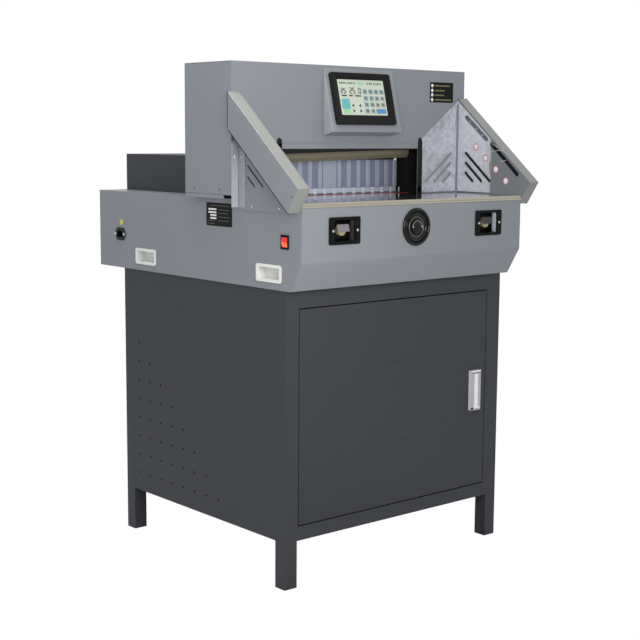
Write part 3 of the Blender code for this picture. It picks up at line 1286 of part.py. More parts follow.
def make_back_gauge():
    """The ribbed fence, its carriage, the lead screw and its motor."""
    back = FENCE_FRONT + FENCE_RIB_DEPTH + FENCE_BACK_SHEET
    low = TABLE_TOP + FENCE_LIFT
    high = low + FENCE_HEIGHT
    pitch = (FENCE_RIGHT - FENCE_LEFT) / FENCE_RIB_COUNT
    valley = FENCE_FRONT + FENCE_RIB_DEPTH
    foot = low + FENCE_LIP_HEIGHT / 2
    fence = block("back_gauge_fence", (FENCE_LEFT, valley, foot), (FENCE_RIGHT, back, high))
    ribs = []
    for i in range(FENCE_RIB_COUNT):
        start = FENCE_LEFT + pitch * (i + (UNIT - FENCE_RIB_SHARE) / 2)
        ribs.append(block("rib", (start, FENCE_FRONT, foot),
                          (start + pitch * FENCE_RIB_SHARE, valley + FENCE_BACK_SHEET / 2, high)))
    lip = block("fence_lip", (FENCE_LEFT - FENCE_LIP_PROUD, FENCE_FRONT - FENCE_LIP_PROUD, low),
                (FENCE_RIGHT + FENCE_LIP_PROUD, back - FENCE_LIP_PROUD, low + FENCE_LIP_HEIGHT))
    finish(unite(fence, group("fence_ribs", ribs), lip), ALUMINIUM)

    half = GAUGE_BLOCK_HEIGHT / 2
    carriage = block("gauge_carriage", (-GAUGE_BLOCK_HALF, GAUGE_ARM_FRONT, GAUGE_AXIS_Z - half),
                     (GAUGE_BLOCK_HALF, GAUGE_ARM_FRONT + GAUGE_BLOCK_DEPTH, GAUGE_AXIS_Z + half))
    arm = block("arm", (-GAUGE_ARM_WIDTH / 2, GAUGE_ARM_FRONT, GAUGE_AXIS_Z),
                (GAUGE_ARM_WIDTH / 2, GAUGE_ARM_BACK, high - FENCE_LIP_HEIGHT))
    bores = []
    for x, radius in ((-GAUGE_RAIL_SPREAD, GAUGE_RAIL_RADIUS), (GAUGE_RAIL_SPREAD, GAUGE_RAIL_RADIUS),
                      (0, LEAD_SCREW_RADIUS)):
        bores.append(rod("carriage_bore", (x, GAUGE_ARM_FRONT - OVERRUN, GAUGE_AXIS_Z),
                         (x, GAUGE_ARM_BACK + OVERRUN, GAUGE_AXIS_Z), radius + GAUGE_RUNNING_GAP, ROD_SIDES))
    unite(carriage, arm)
    finish(cut(carriage, *bores), CAST)
    hang(axis_at("gauge_path", (0, GAUGE_ARM_FRONT, GAUGE_AXIS_Z)), fence, carriage)

    coupler_front = GAUGE_MOTOR_BACK + GAP
    coupler_back = coupler_front + COUPLER_LENGTH
    screw = rod("lead_screw", (0, coupler_back - COUPLER_LENGTH / 2, GAUGE_AXIS_Z),
                (0, rail_end(), GAUGE_AXIS_Z), LEAD_SCREW_RADIUS, ROD_SIDES)
    coupler = rod("coupler", (0, coupler_front, GAUGE_AXIS_Z), (0, coupler_back, GAUGE_AXIS_Z),
                  COUPLER_RADIUS, ROD_SIDES)
    finish(unite(screw, coupler), STEEL)
    hang(axis_at("lead_screw_axis", (0, rail_end(), GAUGE_AXIS_Z)), screw)

    half = GAUGE_MOTOR_SIZE / 2
    finish(rounded(block("gauge_motor", (-half, GAUGE_MOTOR_FRONT, GAUGE_AXIS_Z - half),
                         (half, GAUGE_MOTOR_BACK, GAUGE_AXIS_Z + half)), MOTOR_CHAMFER, 1), MOTOR_PAINT)


def guard_profile():
    """The slanted guard arm's outline from the side, as pairs of Y and Z."""
    rear = HEAD_FRONT - GAP
    return [(rear, ARM_TOP_REAR_Z), (rear, ARM_LOW_REAR_Z), (ARM_LOW_FRONT_Y, ARM_LOW_FRONT_Z),
            (ARM_FRONT_TIP, ARM_TOP_FRONT_Z)]


def span(side, near, far):
    """Low and high X of a piece between two distances from the middle, on one side."""
    return (side * far, side * near) if side < 0 else (near, far)


def above_table(point):
    """A place in a side plate, from its Y and its rise above the table."""
    return point[0], TABLE_TOP + point[1]


def side_guard_holes():
    """The louvre slots and the light curtain's windows."""
    louvres = [slot(above_table(start), above_table(end), LOUVRE_SLOT_WIDTH, 3) for start, end in LOUVRE_ENDS]
    windows = [slot(above_table(start), above_table(end), WINDOW_WIDTH, 4) for start, end in WINDOW_ENDS]
    return louvres + windows


def make_guards():
    """On each side the arm, its plate, the corner guard, the outer angle and the light curtain's bar."""
    rear = HEAD_FRONT - GAP
    arm_outline = guard_profile()
    plate_outline = [(rear, ARM_TOP_REAR_Z), (rear, SIDE_GUARD_BOTTOM), (ARM_LOW_FRONT_Y, SIDE_GUARD_BOTTOM),
                     (ARM_LOW_FRONT_Y, ARM_LOW_FRONT_Z), (ARM_FRONT_TIP, ARM_TOP_FRONT_Z)]
    plate_near, plate_far = BODY_HALF + GAP, BODY_HALF + GAP + SIDE_GUARD_SHEET
    arm_near = plate_far + GAP
    slope = (ARM_TOP_REAR_Z - ARM_TOP_FRONT_Z) / (rear - ARM_FRONT_TIP)
    for side, word in ((-UNIT, "left"), (UNIT, "right")):
        arm = sheet("guard_arm_" + word, [arm_outline], "X", *span(side, arm_near, ARM_OUTER))
        hollow = sheet("arm_hollow", [inset(arm_outline, ARM_WALL)], "X",
                       *span(side, arm_near - ARM_WALL, ARM_OUTER - ARM_WALL))
        finish(cut(arm, hollow), GREY_PAINT)
        finish(sheet("side_guard_" + word, [plate_outline, *side_guard_holes()], "X",
                     *span(side, plate_near, plate_far)), GREY_PAINT)

        leg_outline = [(rear, CORNER_TOP_Z), (rear, CORNER_BOTTOM), (CORNER_SIDE_END, CORNER_BOTTOM),
                       (CORNER_SIDE_END, CORNER_TOP_Z - slope * (rear - CORNER_SIDE_END))]
        corner = sheet("corner_guard_" + word, [leg_outline], "X",
                       *span(side, BODY_HALF - CORNER_SHEET, BODY_HALF))
        inner = CORNER_FRONT_X if side > 0 else -OPENING_LEFT + OPENING_SLOT_WIDTH
        fall = (CORNER_TOP_Z - CORNER_FRONT_Z) / (BODY_HALF - CORNER_FRONT_X)
        front_outline = [(inner, CORNER_BOTTOM), (BODY_HALF, CORNER_BOTTOM), (BODY_HALF, CORNER_TOP_Z),
                         (inner, CORNER_TOP_Z - fall * (BODY_HALF - inner))]
        front_louvres = []
        for ends in FRONT_LOUVRE_ENDS if side > 0 else []:
            start, end = [(BODY_HALF - across, TABLE_TOP + rise) for across, rise in ends]
            front_louvres.append(slot(start, end, LOUVRE_SLOT_WIDTH, 3))
        if side < 0:
            front_outline = mirrored(front_outline)
        front = sheet("front_leg", [front_outline, *front_louvres], "Y", rear - CORNER_SHEET, rear)
        tools = [sheet("leg_slot", [hole], "X", *span(side, BODY_HALF - OVERRUN, BODY_HALF + OVERRUN))
                 for hole in side_guard_holes()]
        unite(corner, front)
        finish(cut(corner, *tools), GALVANISED)

        make_outer_angle(side, word, plate_far + GAP)

        middle_start = Vector(above_table(WINDOW_ENDS[0][0]))
        middle_end = Vector(above_table(WINDOW_ENDS[-1][1]))
        along = (middle_end - middle_start).normalized()
        first, last = middle_start - along * CURTAIN_WIDTH / 2, middle_end + along * CURTAIN_WIDTH / 4
        across = Vector((-along.y, along.x)) * CURTAIN_WIDTH / 2
        bar = [tuple(first + across), tuple(last + across), tuple(last - across), tuple(first - across)]
        finish(sheet("light_curtain_" + word, [bar], "X", *span(side, arm_near, arm_near + CURTAIN_DEPTH)),
               BLACK_PLASTIC)


def make_outer_angle(side, word, near):
    """The bent angle that holds the guard arm to the head, with both leg tops cut on a slant."""
    rear = HEAD_FRONT - GAP
    inner, fold = near + CORNER_SHEET, rear - CORNER_SHEET
    legs = [(near, rear), (HEAD_HALF, rear), (HEAD_HALF, fold), (inner, fold), (inner, rear - ANGLE_LEG),
            (near, rear - ANGLE_LEG)]
    if side < 0:
        legs = mirrored(legs)
    angle = sheet("outer_angle_" + word, [legs], "Z", ANGLE_BOTTOM, ANGLE_TOP)
    side_end = rear - ANGLE_LEG - OVERRUN
    side_fall = ANGLE_SLANT * (fold - side_end) / (fold - rear + ANGLE_LEG)
    front_fall = ANGLE_SLANT * (HEAD_HALF + OVERRUN - inner) / (HEAD_HALF - inner)
    high = ANGLE_TOP + OVERRUN
    side_slant = sheet("side_slant", [[(fold, ANGLE_TOP), (fold, high), (side_end, high),
                                       (side_end, ANGLE_TOP - side_fall)]], "X",
                       *span(side, near - OVERRUN, HEAD_HALF + OVERRUN))
    slant = [(inner, ANGLE_TOP), (inner, high), (HEAD_HALF + OVERRUN, high),
             (HEAD_HALF + OVERRUN, ANGLE_TOP - front_fall)]
    if side < 0:
        slant = mirrored(slant)
    front_slant = sheet("front_slant", [slant], "Y", fold - OVERRUN, rear + OVERRUN)
    finish(cut(angle, side_slant, front_slant), GALVANISED)


def make_display():
    """The tilted display pod, its black bezel and the screen."""
    back = HEAD_FRONT - GAP
    profile = [(back, POD_TOP), (back, POD_FOOT_BACK), (back - POD_FOOT_DEPTH, POD_FOOT)]
    finish(sheet("display_pod", [profile], "X", POD_LEFT, POD_RIGHT), GREY_PAINT)

    drop = POD_TOP - POD_FOOT
    face = Vector((BEZEL_X, back - POD_FOOT_DEPTH * BEZEL_CENTRE_SHARE, POD_TOP - drop * BEZEL_CENTRE_SHARE))
    outward = Vector((0, -math.cos(POD_TILT), math.sin(POD_TILT)))
    frame_loops = [round_rectangle((0, 0), BEZEL_WIDTH, BEZEL_HEIGHT, POD_ROUND),
                   rectangle((-SCREEN_WIDTH / 2, SCREEN_RISE - SCREEN_HEIGHT / 2),
                             (SCREEN_WIDTH / 2, SCREEN_RISE + SCREEN_HEIGHT / 2))]
    bezel = sheet("display_bezel", frame_loops, "Y", 0, BEZEL_DEPTH)
    half_w, half_h = SCREEN_WIDTH / 2 - GAP, SCREEN_HEIGHT / 2 - GAP
    screen = sheet("display_screen", [rectangle((-half_w, -half_h), (half_w, half_h))], "Y", 0,
                   SCREEN_THICKNESS)
    for piece, thickness, rise in ((bezel, BEZEL_DEPTH, 0), (screen, SCREEN_THICKNESS, SCREEN_RISE)):
        upward = Vector((0, math.sin(POD_TILT), math.cos(POD_TILT)))
        piece.location = face + outward * (GAP + thickness / 2) + upward * rise
        piece.rotation_euler = (math.pi / 2 - POD_TILT, 0, 0)
    finish(bezel, BLACK_PLASTIC)
    finish(screen, SCREEN_GLASS)


def make_handwheel():
    """The dished surround in the front panel and the handwheel that turns in it."""
    at = (WHEEL_X, BODY_FRONT, WHEEL_Z)
    inner = DISH_POT_RADIUS
    dish = [(WHEEL_SHAFT_RADIUS + GAP, DISH_WALL - DISH_DEPTH), (inner - DISH_WALL, DISH_WALL - DISH_DEPTH),
            (inner, DISH_PROUD), (DISH_RADIUS - DISH_WALL, DISH_PROUD), (DISH_RADIUS, GAP * 2),
            (DISH_RADIUS, GAP), (inner + DISH_WALL, GAP), (inner + DISH_WALL, -DISH_DEPTH),
            (WHEEL_SHAFT_RADIUS + GAP, -DISH_DEPTH)]
    finish(turned("handwheel_dish", dish, at, WHEEL_SIDES), BLACK_PLASTIC)
    floor = DISH_WALL - DISH_DEPTH + GAP
    tail = -DISH_DEPTH - WHEEL_SHAFT_LENGTH
    wheel = [(WHEEL_RADIUS * across, WHEEL_PROUD * out) for across, out in WHEEL_FACE_SHARES]
    wheel += [(WHEEL_RADIUS, -WHEEL_RIM_DEPTH), (WHEEL_BOSS_RADIUS, -WHEEL_RIM_DEPTH),
              (WHEEL_BOSS_RADIUS, floor), (WHEEL_SHAFT_RADIUS, floor), (WHEEL_SHAFT_RADIUS, tail), (0, tail)]
    piece = finish(turned("handwheel", wheel, at, WHEEL_SIDES), BLACK_PLASTIC)
    hang(axis_at("handwheel_axis", at), piece)


def frustum(name, middle, front_size, back_size, depth):
    """A tapered four-sided tool that narrows towards +Y from its front face."""
    bpy.ops.mesh.primitive_cone_add(vertices=4, radius1=math.sqrt(HALF), depth=UNIT,
                                    radius2=math.sqrt(HALF) * back_size[0] / front_size[0])
    obj = bpy.context.object
    turn = Matrix.Rotation(-math.pi / 2, 4, "X") @ Matrix.Rotation(math.pi / 4, 4, "Z")
    obj.data.transform(turn)
    obj.scale = (front_size[0], depth, front_size[1])
    apply_scale(obj)
    obj.location = (middle[0], middle[1] + depth / 2, middle[2])
    return named(obj, name)


def make_cut_stations():
    """The two black cut stations, each a recessed mouth with a push button at its floor."""
    back = BODY_FRONT - GAP
    for x, word in ((STATION_LEFT_X, "left"), (STATION_RIGHT_X, "right")):
        outline = round_rectangle((x, STATION_Z), STATION_WIDTH, STATION_HEIGHT, STATION_CORNER)
        station = sheet("cut_station_" + word, [outline], "Y", back - STATION_FLANGE, back)
        half_w, half_h = STATION_BODY_WIDTH / 2, STATION_BODY_HEIGHT / 2
        body = block("station_body", (x - half_w, back - STATION_FLANGE / 2, STATION_Z - half_h),
                     (x + half_w, back + STATION_DEPTH, STATION_Z + half_h))
        mouth_depth = STATION_FLANGE + STATION_DEPTH - STATION_WALL
        size = (STATION_MOUTH_WIDTH, STATION_MOUTH_HEIGHT)
        small = [value * STATION_THROAT_SHARE for value in size]
        mouth = frustum("mouth", (x, back - STATION_FLANGE - GAP, STATION_Z), size, small, mouth_depth)
        floor = back - STATION_FLANGE - GAP + mouth_depth
        stem_hole = rod("stem_hole", (x, floor - OVERRUN, STATION_Z), (x, floor + OVERRUN, STATION_Z),
                        BUTTON_STEM + GAP, BUTTON_SIDES)
        unite(station, body)
        finish(cut(station, mouth, stem_hole), BLACK_PLASTIC)

        seat = floor - BUTTON_STROKE - GAP
        button = rod("cut_button_" + word, (x, seat - BUTTON_HEIGHT, STATION_Z), (x, seat, STATION_Z),
                     BUTTON_RADIUS, BUTTON_SIDES)
        stem = rod("stem", (x, seat - BUTTON_HEIGHT / 2, STATION_Z), (x, floor + STATION_WALL, STATION_Z),
                   BUTTON_STEM, BUTTON_SIDES)
        finish(unite(button, stem), BUTTON_GREEN)
        hang(axis_at("cut_button_path_" + word, (x, seat, STATION_Z)), button)


def make_switch():
    """The power switch's frame in the left side panel, and its rocker."""
    face = -BODY_HALF - GAP
    outline = rectangle((SWITCH_Y - SWITCH_WIDTH / 2, SWITCH_Z - SWITCH_HEIGHT / 2),
                        (SWITCH_Y + SWITCH_WIDTH / 2, SWITCH_Z + SWITCH_HEIGHT / 2))
    frame = sheet("power_switch_frame", [outline], "X", face - SWITCH_PROUD, face)
    half_w, half_h = SWITCH_BODY_WIDTH / 2, SWITCH_BODY_HEIGHT / 2
    body = block("switch_body", (face - SWITCH_PROUD / 2, SWITCH_Y - half_w, SWITCH_Z - half_h),
                 (face + SWITCH_DEPTH, SWITCH_Y + half_w, SWITCH_Z + half_h))
    inner_w, inner_h = half_w - SWITCH_WALL / 2, half_h - SWITCH_WALL / 2
    well = block("switch_well", (face - SWITCH_PROUD - OVERRUN, SWITCH_Y - inner_w, SWITCH_Z - inner_h),
                 (face + SWITCH_DEPTH - SWITCH_WALL, SWITCH_Y + inner_w, SWITCH_Z + inner_h))
    unite(frame, body)
    finish(cut(frame, well), BLACK_PLASTIC)

    pivot = face
    half_long = inner_h - ROCKER_REACH * math.sin(ROCKER_SWING) - ROCKER_GAP
    bulge = SWITCH_PROUD + ROCKER_REACH * HALF
    deep = SWITCH_DEPTH / 3
    profile = [(pivot - bulge, SWITCH_Z), (pivot - SWITCH_PROUD, SWITCH_Z + half_long),
               (pivot + deep, SWITCH_Z + half_long * ROCKER_ROOT_SHARE),
               (pivot + deep, SWITCH_Z - half_long * ROCKER_ROOT_SHARE),
               (pivot - SWITCH_PROUD, SWITCH_Z - half_long)]
    rocker = sheet("power_rocker", [profile], "Y", SWITCH_Y - inner_w + GAP, SWITCH_Y + inner_w - GAP)
    finish(rocker, RED_PLASTIC)
    tilt = axis_at("rocker_axis", (pivot, SWITCH_Y, SWITCH_Z))
    hang(tilt, rocker)
    tilt.rotation_euler = (0, -ROCKER_SWING, 0)


def make_inlet():
    """The mains inlet socket in the left side panel, with its three pins."""
    face = -BODY_HALF - GAP
    half_w, half_h = INLET_WIDTH / 2, INLET_HEIGHT / 2
    body_w, body_h = INLET_BODY_WIDTH / 2, INLET_BODY_HEIGHT / 2
    outline = [(INLET_Y - half_w, INLET_Z), (INLET_Y - body_w, INLET_Z - half_h),
               (INLET_Y + body_w, INLET_Z - half_h), (INLET_Y + half_w, INLET_Z),
               (INLET_Y + body_w, INLET_Z + half_h), (INLET_Y - body_w, INLET_Z + half_h)]
    inlet = sheet("power_inlet", [outline], "X", face - INLET_PROUD, face)
    body = block("inlet_body", (face - INLET_PROUD / 2, INLET_Y - body_w, INLET_Z - body_h),
                 (face + INLET_DEPTH, INLET_Y + body_w, INLET_Z + body_h))
    mouth_w, mouth_h = INLET_MOUTH_WIDTH / 2, INLET_MOUTH_HEIGHT / 2
    shape = [(-mouth_w, -mouth_h), (mouth_w, -mouth_h), (mouth_w, mouth_h - INLET_CUT),
             (mouth_w - INLET_CUT, mouth_h), (INLET_CUT - mouth_w, mouth_h), (-mouth_w, mouth_h - INLET_CUT)]
    mouth = [(INLET_Y + across, INLET_Z + up) for across, up in shape]
    floor = face - INLET_PROUD + INLET_MOUTH_DEPTH
    well = sheet("inlet_mouth", [mouth], "X", face - INLET_PROUD - OVERRUN, floor)
    pins = []
    for share, stagger in ((-UNIT, -HALF), (0, HALF), (UNIT, -HALF)):
        y, z = INLET_Y + share * INLET_PIN_SPREAD, INLET_Z + stagger * INLET_PIN_STAGGER
        half_pin_w, half_pin_h = INLET_PIN_WIDTH / 2, INLET_PIN_HEIGHT / 2
        pins.append(block("pin", (floor - INLET_PIN_LENGTH, y - half_pin_w, z - half_pin_h),
                          (floor + INLET_PIN_WIDTH, y + half_pin_w, z + half_pin_h)))
    unite(inlet, body)
    cut(inlet, well)
    finish(unite(inlet, *pins), BLACK_PLASTIC)


def make_carry_handles():
    """Four flush carry handles, two in each side panel."""
    body_size = (CARRY_BODY_WIDTH, CARRY_BODY_HEIGHT)
    well_size = [value - CARRY_WALL * 2 for value in body_size]
    for side, word in ((-UNIT, "left"), (UNIT, "right")):
        for y, end in ((CARRY_FRONT_Y, "front"), (CARRY_REAR_Y, "rear")):
            near, far = BODY_HALF + GAP, BODY_HALF + GAP + CARRY_PROUD
            deep = near - CARRY_DEPTH
            rim = round_rectangle((y, CARRY_Z), CARRY_WIDTH, CARRY_HEIGHT, CARRY_CORNER)
            handle = sheet("carry_handle_" + word + "_" + end, [rim], "X", *span(side, near, far))
            body = sheet("handle_body", [round_rectangle((y, CARRY_Z), *body_size, CARRY_CORNER)], "X",
                         *span(side, deep, near + CARRY_PROUD / 2))
            well = sheet("handle_well", [round_rectangle((y, CARRY_Z), *well_size, CARRY_CORNER / 2)], "X",
                         *span(side, deep + CARRY_WALL, far + OVERRUN))
            unite(handle, body)
            finish(cut(handle, well), WHITE_PLASTIC)


def main():
    """Make every piece of the machine."""
    make_stand_frame()
    make_stand_sides()
    make_stand_back()
    make_door()
    make_machine_base()
    make_worktable()
    make_front_panel()
    make_body_sides()
    make_rear_covers()
    make_cutter_frame()
    make_head_covers()
    make_knife_guide()
    make_knife_shoe()
    make_knife()
    make_knife_drive()
    make_clamp()
    make_back_gauge()
    make_guards()
    make_display()
    make_handwheel()
    make_cut_stations()
    make_switch()
    make_inlet()
    make_carry_handles()
    bpy.context.view_layer.update()


main()
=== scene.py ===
"""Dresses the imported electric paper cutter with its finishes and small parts, in a plain pale studio.

Run as a script in Blender. Metres, +Z up, in the same frame as the solids: the operator stands at -Y.
"""

import json
import math

import bmesh
import bpy
from bpy.props import FloatProperty, FloatVectorProperty, PointerProperty
from mathutils import Matrix, Vector


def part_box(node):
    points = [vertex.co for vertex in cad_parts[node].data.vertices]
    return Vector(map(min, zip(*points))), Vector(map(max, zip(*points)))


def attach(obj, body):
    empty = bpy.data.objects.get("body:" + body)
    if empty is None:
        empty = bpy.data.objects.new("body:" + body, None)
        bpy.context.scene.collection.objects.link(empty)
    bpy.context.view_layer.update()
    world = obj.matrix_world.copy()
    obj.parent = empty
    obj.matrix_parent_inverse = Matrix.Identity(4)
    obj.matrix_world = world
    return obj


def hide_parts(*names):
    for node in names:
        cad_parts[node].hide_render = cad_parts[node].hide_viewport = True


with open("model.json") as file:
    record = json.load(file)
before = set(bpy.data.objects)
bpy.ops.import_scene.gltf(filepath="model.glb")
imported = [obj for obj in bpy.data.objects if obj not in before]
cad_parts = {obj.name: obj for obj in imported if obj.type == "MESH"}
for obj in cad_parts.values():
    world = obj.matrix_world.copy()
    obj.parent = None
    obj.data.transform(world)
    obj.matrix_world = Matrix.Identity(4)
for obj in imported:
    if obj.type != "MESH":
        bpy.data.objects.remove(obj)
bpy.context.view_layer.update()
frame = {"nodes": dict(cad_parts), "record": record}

bl_info = {
    "name": "Paper Cutter Dressing",
    "version": (1, 0, 0),
    "blender": (4, 5, 0),
    "location": "View3D > Sidebar > Paper Cutter",
    "description": "Finishes, small parts and a studio for the electric paper cutter",
    "category": "Object",
}

MERGE = 0.00002
FLAT_ANGLE = math.radians(0.5)
SHARP_ANGLE = math.radians(32)
FOLD_ANGLE = math.radians(25)
SKIN = 0.0002
RIM_SHARE = 0.3
SLOTS = {row["node"]: row["material_slot"] for row in frame["record"]["subparts"]}
BODY_OF = {node: body for body, nodes in frame["record"]["behaviour"]["bodies"].items() for node in nodes}

RIGHT, LEFT, FRONT, UP = (1, 0, 0), (-1, 0, 0), (0, -1, 0), (0, 0, 1)
SIDES = (("left", -1), ("right", 1))
# Least part of a face's normal that lies along a way, for a face that looks that way
FACING = 0.9
# The same for a face that only leans that way, for an arm's edge faces that get painted light, and for an
# edge that runs along a way
LEANING = 0.6
ARM_EDGE_FACING = 0.3
ALONG = 0.99
# A plate's corner radius as shares of its sides, least and most
# Its eased front as shares of its thickness and of that radius
PLATE_CORNER = (0.05, 0.49)
PLATE_EASE = (0.4, 0.5)
# Edges of a node shorter than this stay sharp, where the usual length doesn't suit it
LEAST_EDGE = {"guard": 0.02, "stand": 0.05, "fence": 0.01, "station": 0.01, "switch": 0.006, "inlet": 0.008,
              "handle": 0.003}
# Faces of the fence further back than this are grooves
GROOVE_BACK = 0.004
# Height of the line along the table's trim, as a share of the trim
TRIM_LINE_SHARE = 0.42
# Where the film on the guards ends along Y, how softly, and how ragged the line is
FILM_EDGE = (-0.303, 0.0012, 0.012)

# Ends of the right guard's louvres: depth and height in its side leg, X and height in its front leg
SIDE_LOUVRES = (((-0.2166, 1.0097), (-0.3030, 0.9384)), ((-0.2174, 0.9836), (-0.2730, 0.9375)),
                ((-0.2171, 0.9577), (-0.2420, 0.9365)))
FRONT_LOUVRES = (((0.3394, 1.0085), (0.2455, 0.9357)), ((0.3374, 0.9831), (0.2786, 0.9351)),
                 ((0.3382, 0.9561), (0.3122, 0.9345)))
# Depths and heights in the right guard's windows
UPPER_WINDOW = ((-0.2163, 1.1027), (-0.2883, 1.0463))
WINDOW_DOTS = ((-0.2264, 1.0922), (-0.2488, 1.0734), (-0.2714, 1.0563))
# Middles of the painted glints on the blade, and ends of the torn strands of film as depths and heights
GLINTS = ((0.169, -0.1460, 1.0208), (0.170, -0.1460, 0.9934))
FILM_STRANDS = (((-0.3062, 1.0354), (-0.3599, 1.0099)), ((-0.3087, 1.0157), (-0.3368, 1.0187)),
                ((-0.3378, 0.9899), (-0.3570, 0.9929)))

# Shares of the handwheel's radius and of how far it stands out: its face, and the section of its ring
WHEEL_FACE = ((0, 1), (0.10, 0.985), (0.20, 0.93), (0.30, 0.83), (0.38, 0.68), (0.43, 0.50), (0.455, 0.34),
              (0.46, 0.10), (0.48, -0.12), (0.52, -0.20), (0.57, -0.20), (0.61, -0.12), (0.63, 0.02),
              (0.71, 0.02), (0.73, -0.10), (0.78, -0.10), (0.84, 0.02), (0.88, 0.16), (0.915, 0.30),
              (0.95, 0.38), (0.975, 0.38), (0.995, 0.28), (1, 0.12))
WHEEL_RING = ((0.64, 0.03), (0.64, 0.10), (0.655, 0.17), (0.685, 0.17), (0.70, 0.10), (0.70, 0.03),
              (0.64, 0.03))
WHEEL_STEPS = 72
# The surround's fit round the shaft, the rounding of its lip, and its shoulder: way in, and share of the lip
DISH_FIT = 0.0003
DISH_ROUND = 0.0008
DISH_SHOULDER = ((0.0035, 1), (0.0012, 0.75), (0.0003, 0.45), (0, 0.15))

# The screen's layout, in shares across and down it
SCREEN_MARKS = (0.05, 0.085, 0.13, 0.17, 0.23, 0.27, 0.31, 0.36, 0.64, 0.69, 0.73, 0.79, 0.84, 0.88, 0.93)
SCREEN_MARK_HALF = 0.012
SCREEN_MARK_ROW = (0.075, 0.125)
SCREEN_DASHES = ((0.05, 0.16), (0.21, 0.29), (0.34, 0.47))
SCREEN_DASH_ROW = (0.435, 0.475)
ARROW_COLUMNS = (0.27, 0.42)
ARROWS = ((0.73, 0.060), (0.88, -0.060))
NUMBERS = (("25", (0.05, 0.17), (0.255, 0.385)), ("25.0", (0.24, 0.50), (0.235, 0.385)))
KEY_COLUMNS = (0.565, 0.69, 0.81, 0.93)
KEY_ROWS = (0.33, 0.52, 0.70, 0.88)
KEY_HALF = (0.046, 0.066)
KEY_MARK = (0.022, 0.032, 0.02)
KEY_CORNER = 0.0012
PATCH_CORNER = 0.0015
SCREEN_PATCHES = (("screen_panel", "screen_teal", (0.03, 0.205), (0.545, 0.83)),
                  ("screen_panel_foot", "screen_green", (0.045, 0.205), (0.84, 0.95)),
                  ("screen_wide_key", "screen_blue", (0.76, 0.975), (0.815, 0.945)),
                  ("screen_lozenge", "screen_green", (0.42, 0.56), (0.06, 0.14)))
# The bars of a digit: place across and down it, and whether it lies flat
DIGIT_BARS = {"a": (0.5, 0, True), "g": (0.5, 0.5, True), "d": (0.5, 1, True), "f": (0, 0.25, False),
              "b": (1, 0.25, False), "e": (0, 0.75, False), "c": (1, 0.75, False)}
DIGITS = {"0": "abcdef", "2": "abged", "5": "afgcd", ".": ""}
BAR_THICK = 0.018
DIGIT_WIDE = 0.62
# Halves of a flat and of an upright bar, as shares of the digit, and the point's place beside and at its foot
FLAT_BAR = (0.46, 0.8)
TALL_BAR = 0.23
POINT_PLACE = ((0.3, 0.6), (0.02, 0.01))
# Taper of an arrow's thickness, and how far the bezel's slope is centred between the bezel and the screen
ARROW_TAPER = 0.9
SLOPE_CENTRE = 0.8

# What lies on the door's pull, and on the plates, in shares across and down them
# On the pull, the white band is a painted highlight and the dark hole painted shade
PULL_PARTS = (("door_pull_band", "handle_pale_and_highlight", (0.34, 0.70), (0.09, 0.95)),
              ("door_pull_cap", "handle_pale_and_highlight", (0.03, 0.97), (0.01, 0.045)),
              ("door_pull_line", "handle_olive", (0.03, 0.97), (0.055, 0.078)),
              ("door_pull_hole", "painted_shade_black", (0.01, 0.24), (0.925, 0.985)),
              ("door_pull_pin", "handle_pale_and_highlight", (0.76, 0.90), (0.905, 0.965)))
RATING_FIELDS = [((left, 0.40), (top, top + 0.072)) for left, top in (
    (0.085, 0.245), (0.085, 0.375), (0.16, 0.50), (0.16, 0.63))]
HEAD_FIELDS = [((0.20, end), (top, top + 0.06)) for end, top in (
    (0.85, 0.14), (0.62, 0.38), (0.60, 0.61), (0.92, 0.84))]
HEAD_DOT_COLUMN = 0.09
HEAD_DOT_ROWS = (0.17, 0.41, 0.63, 0.87)
FAINT_LINES = ((0.16, 0.92, 0.12), (0.46, 0.90, 0.30), (0.46, 0.84, 0.44), (0.46, 0.93, 0.60),
               (0.05, 0.34, 0.78), (0.05, 0.34, 0.90), (0.46, 0.88, 0.76))
FAINT_LINE_HEIGHT = 0.035
STATION_SCREW_PLACES = (0.115, 0.90)
INLET_SCREW_PLACES = (0.09, 0.91)
DISC_COUNT = 4
# A disc's eased rim as a share of its rise, and a ringed disc's inner radii as shares of its size: ring, face
DISC_EASE = 0.4
DISC_INNER = (0.36, 0.355)
DISC_STEPS = 40
# Sections of a screw's head and of a cut button, in shares of radius and height
SCREW_SECTION = ((0, 0.45), (0.24, 0.5), (0.34, 1), (0.62, 0.94), (0.86, 0.74), (0.98, 0.4), (1, 0), (0, 0))
SCREW_STEPS = 20
BUTTON_SECTION = ((0, 0.93), (0.5, 0.95), (0.72, 1), (0.86, 1), (0.95, 0.95), (1, 0.84), (1, 0))
# Rise of the casing's flat screws, as a share of the usual screw's
FLAT_SCREW = 0.6
# How far the plate at the slot's foot reaches above and below its middle, as a share of half the slot's width
SLOT_FOOT = 0.8
# How far the opening's rim stands off, as a share of a crease's width
# How far the corner strip stands in and spans, as shares of its size
RIM_GAP = 0.8
CORNER_STRIP_FIT = (0.6, 0.8)
# The screw in an outer angle's side leg against the other one, and the painted shade in a screw's drive
# against its head
SIDE_SCREW = 0.7
SCREW_DRIVE_SHADE = 0.45
# Marks on the fence's lip as a share of its height, and the middle of its painted shadow line in shares of
# that line
LIP_MARK_TALL = 0.9
LIP_SHADE_MIDDLE = 0.7
# A painted glint's width and corner as shares of its length
GLINT_SHARES = (0.6, 0.25)
# A station's glare strip: place in shares of its depth, height as a share of the station's. The hood's drop
GLARE_PLACE = 0.55
GLARE_TALL = 0.76
HOOD_DROP = 0.4
# The painted reflection on the hub, an arc with a white dot at each end: its rise as a share of how far the
# wheel stands out, its section, turn and dots
HUB_ARC_RISE = 0.60
HUB_ARC_SECTION = 8
HUB_ARC_STEPS = 24
HUB_DOT = 4.5
# The way that a station's hood faces, and the way across a painted glint on the blade
HOOD_FACING = (0, -1, 0.25)
GLINT_LEAN = (1, 0, 0.55)


def length(name, description, default):
    """A length that a user may change, in metres."""
    return FloatProperty(name=name, description=description, default=default, min=0, unit="LENGTH",
                         precision=4)


